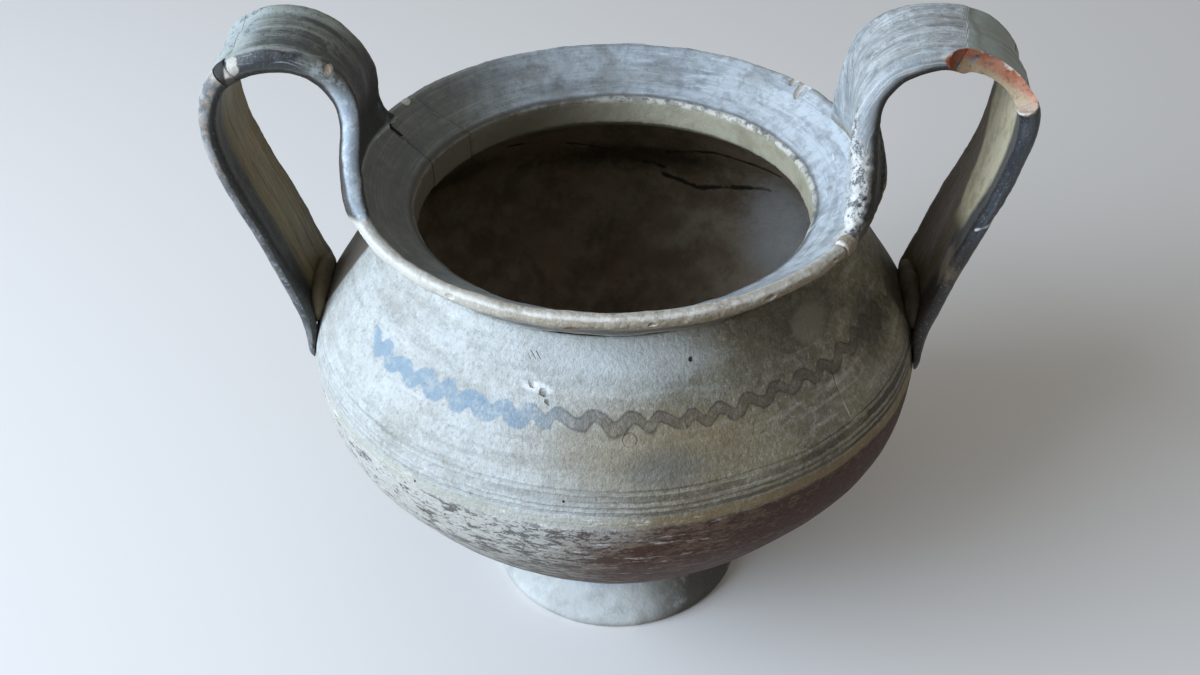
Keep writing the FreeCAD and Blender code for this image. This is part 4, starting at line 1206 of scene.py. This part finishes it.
def right_strap_coat(tree, at, on):
    """The colour of the right strap, before its broken edge."""
    # The cream patch is wide at its top and narrows downwards towards the near edge
    tapering = add(tree, "Math", at.Y, add(tree, "MapRange", at.Z, 137, 117, 0, 13), operation="ADD")
    cream_patch = both(tree, slide(tree, tapering, 10.5, 8.5), slide(tree, at.Y, -12.5, -10),
                       slide(tree, at.Z, 113, 119))
    on.crust = both(tree, scratch(tree, at, 2.2, *CRUST, soft=0.4, tear=4.5),
                    patches(tree, at.here, 2.0, 0.68, 0.04, 8, 0.80))
    on.root_shade = scratch(tree, at, 1.6, *ROOT_SHADE, soft=0.25, tear=1.5)
    past_break = add(tree, "VectorMath", at.here, RIGHT_FIRST_BREAK, operation="SUBTRACT")
    past_break = add(tree, "VectorMath", past_break, RIGHT_FIRST_ALONG, operation="DOT_PRODUCT", out="Value")
    on.beyond_break = slide(tree, past_break, -0.1, 0.3)
    return over(
        # The pale blue-grey ground is partly the slip and partly a painted reflection of the window lamp.
        tree, paint("#A6ABAB"),
        ("#DADFDE", 0.55, on.outer_face, on.pale_streaks),
        ("#5F686C", 0.52, on.outer_face, on.dark_streaks),
        ("#C9D2D4", 0.50, on.outer_face, patches(tree, at.here, 5.0, 0.42, 0.06, 7, 0.75)),
        ("#5C666C", 0.50, on.outer_face, patches(tree, on.along, 3.0, 0.34, 0.06, 7, 0.78)),
        ("#6F6A67", 0.55, on.outer_face, on.crown, patches(tree, on.along, 6, 0.42, 0.07, 7, 0.72)),
        ("#E3E6E4", 0.45, on.outer_face, patches(tree, at.here, 2.2, 0.26, 0.04, 7, 0.78)),
        ("#4E5558", 0.45, on.outer_face, patches(tree, at.here, 2.6, 0.26, 0.05, 7, 0.78)),
        ("#9AA59C", 0.80, on.outer_face, on.beyond_break),
        ("#C6CCC9", 0.45, on.outer_face, on.outer_leg, on.pale_streaks),
        ("#5F686C", 0.50, on.outer_face, on.outer_leg, on.dark_streaks),
        ("#8D979D", 0.60, on.near_edge),
        ("#D8DCDB", 0.60, on.near_edge, on.pale_streaks),
        ("#2A2D31", 0.85, slide(tree, on.away, 0.10, -0.35), slide(tree, at.facing_y, 0.1, -0.2)),
        ("#26231F", 0.88, on.inner_face),
        ("#25292F", 0.90, slide(tree, at.facing_y, -0.25, -0.55), on.outer_leg),
        # Blue patches on the near edge of the outer leg: painted highlights.
        ("#6A7B8E", 0.45, on.near_edge, on.outer_leg, slide(tree, at.Z, 112, 126),
         patches(tree, on.along, 4, 0.34, 0.05, 6, 0.7)),
        # Olive-brown on the inner face of the outer leg; on its far side, beyond the cream patch, partly
        # painted shade.
        ("#6A5B42", 0.88, on.inner_face, on.outer_leg, band(tree, at.Y, -9, 20, 1.5)),
        ("#DED5B2", 0.92, on.inner_face, on.outer_leg, cream_patch),
        ("#A39974", 0.55, on.inner_face, on.outer_leg, cream_patch,
         patches(tree, at.here, 4, 0.42, 0.06, 7, 0.75)),
        ("#2A1F15", 0.88, on.outer_leg, slide(tree, at.Z, 118, 110), slide(tree, at.Y, -7, -12)),
        ("#A08C75", 0.50, on.outer_leg, spot(tree, at, (78.5, -14, 106.5), (3, 4, 4.5), 0.4, 2.0)),
        ("#E2E4DF", 0.85, scratch(tree, at, 0.30, *LEG_SCRATCH)),
        ("#DDE1E0", 0.70, on.outer_face, band(tree, past_break, -0.35, 0.2, 0.1)),
        ("#DAD7CC", 0.80, scratch(tree, at, 0.75, *CROWN_SCUFF, soft=0.6, tear=2.2),
         slide(tree, on.away, 0.25, 0.5)),
        ("#1F1C19", 0.90, on.root_shade),
        ("#26241F", 0.80, scratch(tree, at, 2.4, *BURRS, soft=0.4, tear=3.0)),
        ("#D8D9D4", 0.92, on.crust))


# %% Colour the scar with raw clay
def scar_and_clay(tree, at, on):
    """A mask of the scar on the right crown, and the colour of the raw clay in it."""
    from_middle = add(tree, "VectorMath", at.here, RIGHT_SCAR, operation="SUBTRACT")
    lengthwise = add(tree, "VectorMath", from_middle, SCAR_SLOPE, operation="DOT_PRODUCT", out="Value")
    upwards = (-SCAR_SLOPE[2], 0.0, SCAR_SLOPE[0])
    upwards = add(tree, "VectorMath", from_middle, upwards, operation="DOT_PRODUCT", out="Value")
    inwards = add(tree, "Math", at.Y, RIGHT_SCAR[1], operation="SUBTRACT")
    # As shares of the scar's half sizes, so that the whole scar is a ball of radius 1
    shares = [add(tree, "Math", way, 1 / size, operation="MULTIPLY")
              for way, size in zip((lengthwise, inwards, upwards), SCAR_SIZE)]
    away = add(tree, "VectorMath", add(tree, "CombineXYZ", *shares), operation="LENGTH", out="Value")
    scar = slide(tree, torn(tree, at, away, 0.25), 1.07, 1.01)
    raw_clay = over(
        tree, add(tree, "Mix", on.beyond_break, paint("#8A4216"), paint("#B98265"), data_type="RGBA"),
        ("#AC5634", 0.60, patches(tree, at.here, 4.0, 0.45, 0.08, 6, 0.7)),
        ("#BDB08F", 0.78, slide(tree, shares[2], 0.05, -0.20), slide(tree, lengthwise, -8, -5)),
        ("#E2DCCD", 0.90, slide(tree, torn(tree, at, shares[2], 1.0), 0.34, 0.46), on.beyond_break),
        ("#5A4A40", 0.50, patches(tree, at.here, 1.4, 0.22, 0.04, 4, 0.7)))
    return scar, raw_clay


# %% [markdown]
# ### Both straps
# The handle roots reach down into the rim piece, and the coat must not change at the cut. So the coat is
# a function of its own, which the rim uses too. The burnished edges shine a little more than the faces.

# %% Finish of the handles
LEFT_CROWN_SCRATCH = ((-79.6, -13.6, 159.6), (-74, -13.5, 160.5), (-69.3, -13.6, 160.3),
                      (-63.1, -12.4, 158.3), (-61, -10.4, 156.6))


def strap_coat(tree, at):
    """Colour and roughness of the straps, with the masks and patterns that their finishes share."""
    on = strap_places(tree, at)
    is_right = slide(tree, at.X, -5, 5)
    is_left = all_but(tree, is_right)
    left_coat = left_strap_coat(tree, at, on)
    right_coat = right_strap_coat(tree, at, on)
    scar, raw_clay = scar_and_clay(tree, at, on)
    right_coat = over(tree, right_coat, (raw_clay, 1.0, scar))
    on.fine = add(tree, "TexNoise", at.here, 1 / 0.5, 4, 0.7, out="Fac")
    coat = over(
        tree, add(tree, "Mix", is_right, left_coat, right_coat, data_type="RGBA"),
        ("#D9DCDA", 0.20, slide(tree, on.fine, 0.44, 0.30)),
        ("#D3C2AD", 0.90, spot(tree, at, (-60.6, -12.6, 155.3), (1.0, 1.8, 1.0), 0.1, 1.2), is_left),
        ("#A39C90", 0.55, scratch(tree, at, 0.30, *LEFT_CROWN_SCRATCH), is_left))
    shine = add(tree, "Math", on.near_edge, -0.22, 0.50, operation="MULTIPLY_ADD")
    return coat, shine, on


def handle_finish():
    """Dark burnished slip, drawn out in streaks along the strap: half matt, with a shine on its edges."""
    finish, tree = new_finish("burnished_dark_slip", 0.5)
    coat, shine, on = strap_coat(tree, places(tree))
    bump = relief(tree, (on.fine, 0.14), (on.streaks, 0.22), (on.crust, 0.30))
    give(finish, ["left_strap_upper", "left_strap_lower", "right_strap_upper", "right_strap_crown",
                  "right_strap_lower"], coat, bump, shine)


handle_finish()

# %% [markdown]
# ### The rim
# The flare was brushed with blue-grey slip on the wheel, so its marks run round. It is painted paler towards
# the right, a painted reflection of the window lamp, and darker at the left, painted shade. The lip has been
# handled and knocked for ages: it is worn to rough beige clay, pale on its upper edge, partly worn and partly
# a painted highlight, with a dark line where it meets the neck, partly dark slip and partly painted shadow.
# At the back the slip still reaches the edge. The neck inside is bare cream clay with a broken edge, painted
# darker at the left as shade. Above the lip the coat of the straps takes over.

# %% Find the parts of the rim
ROOT_START = 45


def rim_places(tree, at):
    """Masks of the parts of the rim."""
    on = SimpleNamespace()
    on.flare = slide(tree, at.facing_z, 0.25, 0.45)
    lip_up = torn(tree, at, at.Z, 1.5)
    slipped_edge = both(tree, slide(tree, at.Y, -8, 4), slide(tree, at.facing_z, -0.1, 0.2))
    on.roll = both(tree, slide(tree, at.radius, 58.6, 59.6), slide(tree, lip_up, 122.0, 122.7),
                   all_but(tree, slipped_edge))
    on.below_roll = both(tree, slide(tree, at.radius, 55, 57), slide(tree, lip_up, 122.4, 121.4))
    on.upper_edge = both(tree, on.roll, band(tree, at.facing_z, 0.55, 0.95, 0.15))
    on.neck_inside = both(tree, slide(tree, at.radius, 48.1, 47.6), slide(tree, at.Z, 116.9, 116.3))
    on.mouth_edge = both(tree, band(tree, at.radius, 46.8, 48.0, 0.3), slide(tree, at.Z, 115.6, 116.2))
    on.back_right = slide(tree, add(tree, "Math", at.Y, at.X, operation="ADD"), 30, 62)
    on.left_part = slide(tree, at.X, -20, -46)
    # The notches' broken faces no longer lie in the slope of the flare
    flare_faces = (-0.472, -0.396, 0.788)
    in_slope = add(tree, "VectorMath", at.normal, flare_faces, operation="DOT_PRODUCT", out="Value")
    on.in_notch = slide(tree, in_slope, 0.95, 0.88)
    across = add(tree, "Math", at.X, operation="ABSOLUTE")
    on.root = both(tree, slide(tree, at.Z, 125.6, 127.2), slide(tree, across, ROOT_START - 1, ROOT_START + 1))
    return on


# %% Finish of the rim
SLIT_MOUTH = ((-55.3, 16.9, 124.9), (-52.9, 16.2, 122.9))
NOTCHES = (
    ("#DAD5CC", 1.9, (44.0, 38.7, 125.4), (46.4, 40.8, 127.8)),
    ("#E2DDD4", 2.3, (45.4, 35.0, 124.4), (48.9, 37.7, 127.8)),
)
SHERD_EDGE = ((-49.6, 27.5, 124.6), (-46.3, 28.1, 122.2), (-42, 28.6, 119.8), (-38.6, 27.6, 117))
LONG_SCRATCH = ((52.6, 11, 121.6), (51.6, -2, 121.3), (50.2, -12, 121.4), (49.6, -20, 121.6))
SHORT_SCRATCH = ((44.5, -16, 116.6), (47.0, -13.2, 118.4), (50.4, -10.6, 120.2))
UNDER_ROOT = ((60.0, -16.0, 126), (57.0, -23.0, 125), (54.0, -28.6, 124.2))


def rim_finish():
    """Blue-grey brushed slip, worn to rough beige clay along the lip."""
    finish, tree = new_finish("brushed_blue_grey_slip", 0.5)
    at = places(tree)
    slip = grey_slip(tree, at)
    strap, strap_shine, strap_on = strap_coat(tree, at)
    on = rim_places(tree, at)
    brush = add(tree, "VectorMath", at.round, (0.05, 0.05, 0.75), operation="MULTIPLY")
    brush_marks = add(tree, "TexNoise", brush, 0.42, 5, 0.6, 2.0, 0.5, out="Fac")
    colour = over(
        tree, slip,
        ("#B0BBC2", 0.90, on.flare),
        # Paler towards the right: a painted reflection of the window lamp.
        ("#D5DFE4", 0.72, on.flare, slide(tree, at.X, 12, 48)),
        # Darker at the left: painted shade.
        ("#6C6C62", 0.88, on.flare, on.left_part),
        ("#83857C", 0.45, on.flare, on.left_part, patches(tree, at.here, 6, 0.42, 0.09, 6, 0.72)),
        ("#C6D2D8", 0.22, on.flare, slide(tree, brush_marks, 0.52, 0.66)),
        ("#58626A", 0.22, on.flare, slide(tree, brush_marks, 0.47, 0.34)),
        ("#56595A", 0.35, on.flare, patches(tree, at.here, 3.4, 0.40, 0.08, 7, 0.75)),
        ("#5A636A", 0.40, on.flare, patches(tree, at.round, 24, 0.36, 0.09, 6, 0.7)),
        # Pale bluish patches towards the right: partly brushed slip, partly a painted reflection of the
        # window lamp.
        ("#D6E0E4", 0.45, on.flare, patches(tree, at.round, 9, 0.24, 0.05, 7, 0.72),
         slide(tree, at.X, -30, 20)),
        ("#6A665A", 0.35, on.flare, patches(tree, at.here, 14, 0.25, 0.07)),
        ("#45423C", 0.75, on.flare, band(tree, at.radius, 47.6, 48.6, 0.5)),
        ("#ABA08B", 0.92, on.roll),
        ("#D6D4CA", 0.60, on.roll, patches(tree, at.here, 1.2, 0.36, 0.06, 6, 0.78)),
        ("#6F6555", 0.50, on.roll, patches(tree, at.here, 1.0, 0.28, 0.05, 5, 0.78)),
        ("#8A7E6B", 0.40, on.roll, patches(tree, at.here, 7.0, 0.35, 0.10, 5, 0.7)),
        ("#D9DBD4", 0.60, on.roll, slide(tree, at.X, -5, -45)),
        # Paler on the top of the lip: worn clay and a painted highlight.
        ("#E4E3DB", 0.75, on.upper_edge, patches(tree, at.here, 5, 0.75, 0.08, 6, 0.7)),
        ("#83522F", 0.70, on.roll, spot(tree, at, (-6.5, -61, 123.2), (1.8, 2.5, 0.9), 0.3, 1.5)),
        # A dark line under the lip: dark slip and painted shadow.
        ("#37342F", 0.75, on.below_roll),
        ("#C2BEA6", 0.92, on.neck_inside),
        # Inside the neck, darker towards the left: painted shade.
        ("#4F4738", 0.80, on.neck_inside, slide(tree, at.X, 18, -28)),
        ("#857A60", 0.40, on.neck_inside, patches(tree, at.here, 9, 0.34, 0.12, 6, 0.7)),
        ("#E2E1D4", 0.85, on.mouth_edge, patches(tree, at.here, 3, 0.62, 0.05, 6, 0.7), on.back_right),
        ("#57503F", 0.60, on.mouth_edge, patches(tree, at.here, 4, 0.45, 0.05, 6, 0.7)),
        *[(clay, 0.95, scratch(tree, at, width, *path, soft=0.12, tear=0.8), on.in_notch)
          for clay, width, *path in NOTCHES],
        ("#E3DFD4", 0.90, spot(tree, at, (-53.0, 27.6, 126.4), (1.2, 1.3, 1.0), 0.2, 1.0)),
        ("#0D0C0A", 0.95, scratch(tree, at, 0.75, *SLIT_MOUTH, soft=0.2, tear=0.5)),
        ("#2A2825", 0.85, scratch(tree, at, 0.22, *SHERD_EDGE)),
        ("#EEF0EC", 0.70, scratch(tree, at, 0.22, *LONG_SCRATCH, tear=1.2)),
        ("#EEF0EC", 0.60, scratch(tree, at, 0.35, *SHORT_SCRATCH, tear=1.6)),
        ("#1F1C19", 0.90, strap_on.root_shade),
        ("#25231F", 0.80, scratch(tree, at, 2.2, *UNDER_ROOT, soft=0.25, tear=1.5)),
        ("#E6E7E2", 0.85, scratch(tree, at, 0.3, (56.0, -19.6, 125.6), (57.8, -20.6, 123.0), tear=1.2)),
        ("#D8D9D4", 0.92, strap_on.crust))
    colour = add(tree, "Mix", on.root, colour, strap, data_type="RGBA")
    shine = add(tree, "Math", on.roll, 0.26, 0.52, operation="MULTIPLY_ADD")
    shine = add(tree, "Mix", on.root, shine, strap_shine)
    dents = add(tree, "TexNoise", at.here, 1 / 1.8, 4, 0.65, out="Fac")
    bump = relief(tree, (at.grain, 0.12), (brush_marks, 0.03), (dents, 0.16),
                  (both(tree, dents, on.roll), 0.14))
    give(finish, ["flared_rim", "set_back_sherd"], colour, bump, shine)


rim_finish()

# %% [markdown]
# ### Bare clay
# The foot has hardly any slip: pale fired clay, bluish higher up, darker at the right and in a band just
# under the bowl. The coil in the neck is cream, with painted shade at its left.
# The wads are olive-brown smeared clay, and the right one is painted darker as shade.

# %% Finish of the bare clay
def bare_finish():
    """Pale fired clay with bluish bloom and olive stains; the coil in the neck is cream, with painted shade
    at its left.
    """
    finish, tree = new_finish("bare_fired_clay", 0.72)
    at = places(tree)
    shaggy = torn(tree, at, at.Z, 5.0)
    on_foot = slide(tree, at.Z, 30, 24)
    on_neck = slide(tree, at.Z, 90, 100)
    bloom = slide(tree, shaggy, 7, 14)
    colour = over(
        tree, add(tree, "Mix", bloom, paint("#BCC1BE"), paint("#94A2AE"), data_type="RGBA"),
        ("#A8A596", 0.35, patches(tree, at.here, 14, 0.40, 0.14, 6, 0.65)),
        ("#D9DEDC", 0.50, patches(tree, at.here, 9, 0.40, 0.12, 6, 0.65)),
        ("#7F8890", 0.35, patches(tree, at.here, 7, 0.30, 0.10, 6, 0.7)),
        ("#40392F", 0.88, slide(tree, at.X, 4, 22), patches(tree, at.here, 10, 0.80, 0.12, 6, 0.7), on_foot),
        ("#4A4239", 0.70, slide(tree, shaggy, 15.5, 17.5), on_foot),
        ("#B8B39A", 0.85, on_neck),
        # Darker at the left of the neck coil: painted shade.
        ("#4F4738", 0.80, on_neck, slide(tree, at.X, 18, -28)))
    grain = add(tree, "TexNoise", at.here, 1 / 0.7, 4, 0.7, out="Fac")
    dents = add(tree, "TexNoise", at.here, 1 / 4.0, 3, 0.6, out="Fac")
    give(finish, ["thrown_foot", "foot_coil", "neck_coil"], colour, relief(tree, (grain, 0.12), (dents, 0.3)))


def wad_finish():
    """Soft clay smeared by a thumb: olive-brown at the left, painted darker at the right as shade."""
    finish, tree = new_finish("smeared_olive_clay", 0.68)
    at = places(tree)
    is_right = slide(tree, at.X, -5, 5)
    colour = over(
        # The right wad is painted darker: painted shade.
        tree, add(tree, "Mix", is_right, paint("#6E634B"), paint("#4A4031"), data_type="RGBA"),
        ("#7C7059", 0.50, patches(tree, at.here, 7, 0.40, 0.08, 6, 0.65)),
        ("#3D342A", 0.40, patches(tree, at.here, 5, 0.28, 0.10, 6, 0.7)))
    grain = add(tree, "TexNoise", at.here, 1 / 0.7, 4, 0.7, out="Fac")
    give(finish, ["left_wad", "right_wad"], colour, relief(tree, (grain, 0.12)))


bare_finish()
wad_finish()

# %% [markdown]
# ### Plaster
# The mends are plaster, matt and nearly white where it is clean, and brown where dirt has got into it.
# The chip in the left handle has a dark seam, and its lower part is dark, partly dirt and partly painted
# shade under the strap's edge. Only the middle of the lump in the lip is still clean, and the bed in the
# right handle took on the pink of the clay beside it.

# %% Finish of the plaster
CLEAN_MIDDLE = (48.9, -34.8, 126.6)


def plaster_finish():
    """Matt plaster: clean and white at the near side, dirty brown-grey further in."""
    finish, tree = new_finish("white_plaster", 0.85)
    at = places(tree)
    dusty = patches(tree, at.here, 3, 0.3, 0.08)
    around_middle = all_but(tree, spot(tree, at, CLEAN_MIDDLE, (1.4, 1.5, 1.3), 0.15, 1.2))
    dirty_lump = both(tree, around_middle, slide(tree, at.Z, 132, 130))
    towards_scar = (-RIGHT_SECOND_ALONG[0], 0.0, -RIGHT_SECOND_ALONG[2])
    facing_scar = add(tree, "VectorMath", at.normal, towards_scar, operation="DOT_PRODUCT", out="Value")
    colour = over(
        tree, add(tree, "Mix", dusty, paint("#E0DDD5"), paint("#BDB6A8"), data_type="RGBA"),
        ("#7E7669", 0.90, slide(tree, torn(tree, at, at.Y, 4.0), -11.5, -8.5)),
        # The lower part of the left chip: dirt and painted shade.
        ("#4A443D", 0.92, slide(tree, at.X, -60, -70), slide(tree, torn(tree, at, at.Z, 2.0), 155.2, 154.4)),
        ("#14120F", 0.95, slide(tree, at.X, -81.9, -82.4)),
        ("#9C917E", 0.90, slide(tree, at.X, 40, 45), dirty_lump),
        ("#B49A84", 0.85, slide(tree, torn(tree, at, facing_scar, 0.5), 0.62, 0.80),
         slide(tree, at.X, 80, 84)))
    grain = add(tree, "TexNoise", at.here, 1 / 0.5, 4, 0.7, out="Fac")
    give(finish, ["left_plaster_chip", "right_plaster_bed", "lip_plaster_lump"], colour,
         relief(tree, (grain, 0.18)))


plaster_finish()

# %% [markdown]
# ## Light, floor and camera
# The cup stands by a window: one large soft lamp at the left, a little behind the camera, and a dim room
# around it. The camera looks down on the cup at about 38 degrees. It sees a pale floor, but the light
# that the floor throws back on the cup is warm brown, as the shade under the cup is.

# %% Set up the camera
CAMERA_PLACE = (9.477 * MM, -271.381 * MM, 286.47 * MM)
CAMERA_RIGHT = Vector((0.99918, 0.03828, -0.01346))
CAMERA_UP = Vector((-0.01306, 0.61757, 0.78641))
camera_data = bpy.data.cameras.new("camera")
camera_data.lens = 40.08
camera_data.sensor_width = 36.0
camera = bpy.data.objects.new("camera", camera_data)
bpy.context.scene.collection.objects.link(camera)
backwards = CAMERA_RIGHT.cross(CAMERA_UP)
camera.matrix_world = Matrix((
    (CAMERA_RIGHT.x, CAMERA_UP.x, backwards.x, CAMERA_PLACE[0]),
    (CAMERA_RIGHT.y, CAMERA_UP.y, backwards.y, CAMERA_PLACE[1]),
    (CAMERA_RIGHT.z, CAMERA_UP.z, backwards.z, CAMERA_PLACE[2]),
    (0, 0, 0, 1)))
bpy.context.scene.camera = camera
bpy.context.scene.view_settings.view_transform = "Standard"
print("camera at", [round(value / MM) for value in CAMERA_PLACE], "mm")

# %% Lay the floor
FLOOR_SIZE = 6
bpy.ops.object.select_all(action="DESELECT")
bpy.ops.mesh.primitive_plane_add(size=FLOOR_SIZE, location=(0, 0, 0))
floor = bpy.context.object
floor.name = "floor"
studio_floor, floor_tree = new_finish("pale_studio_floor", 0.9)
seen = either(floor_tree, add(floor_tree, "LightPath", out="Is Camera Ray"),
              add(floor_tree, "LightPath", out="Is Glossy Ray"))
give(studio_floor, ["floor"],
     add(floor_tree, "Mix", seen, paint("#7C6A5A"), paint("#EFEDE9"), data_type="RGBA"))

# %% Light the room and the window
WINDOW_PLACE = (-0.86, -0.44, 0.52)
WINDOW_SIZE = 0.9
WINDOW_POWER = 20.5
CUP_MIDDLE = Vector((0, 0, 0.08))
ROOM_LIGHT = 0.32
world = bpy.data.worlds.new("soft_room")
world.use_nodes = True
world.node_tree.nodes["Background"].inputs["Color"].default_value = paint("#F4F1EC")
world.node_tree.nodes["Background"].inputs["Strength"].default_value = ROOM_LIGHT
bpy.context.scene.world = world
bpy.ops.object.light_add(type="AREA", location=WINDOW_PLACE)
window = bpy.context.object
window.data.size = WINDOW_SIZE
window.data.energy = WINDOW_POWER
window.data.color = paint("#DCEBFF")[:3]
window.rotation_mode = "QUATERNION"
window.rotation_quaternion = (CUP_MIDDLE - window.location).to_track_quat("-Z", "Y")
print("lamp of", WINDOW_POWER, "W")
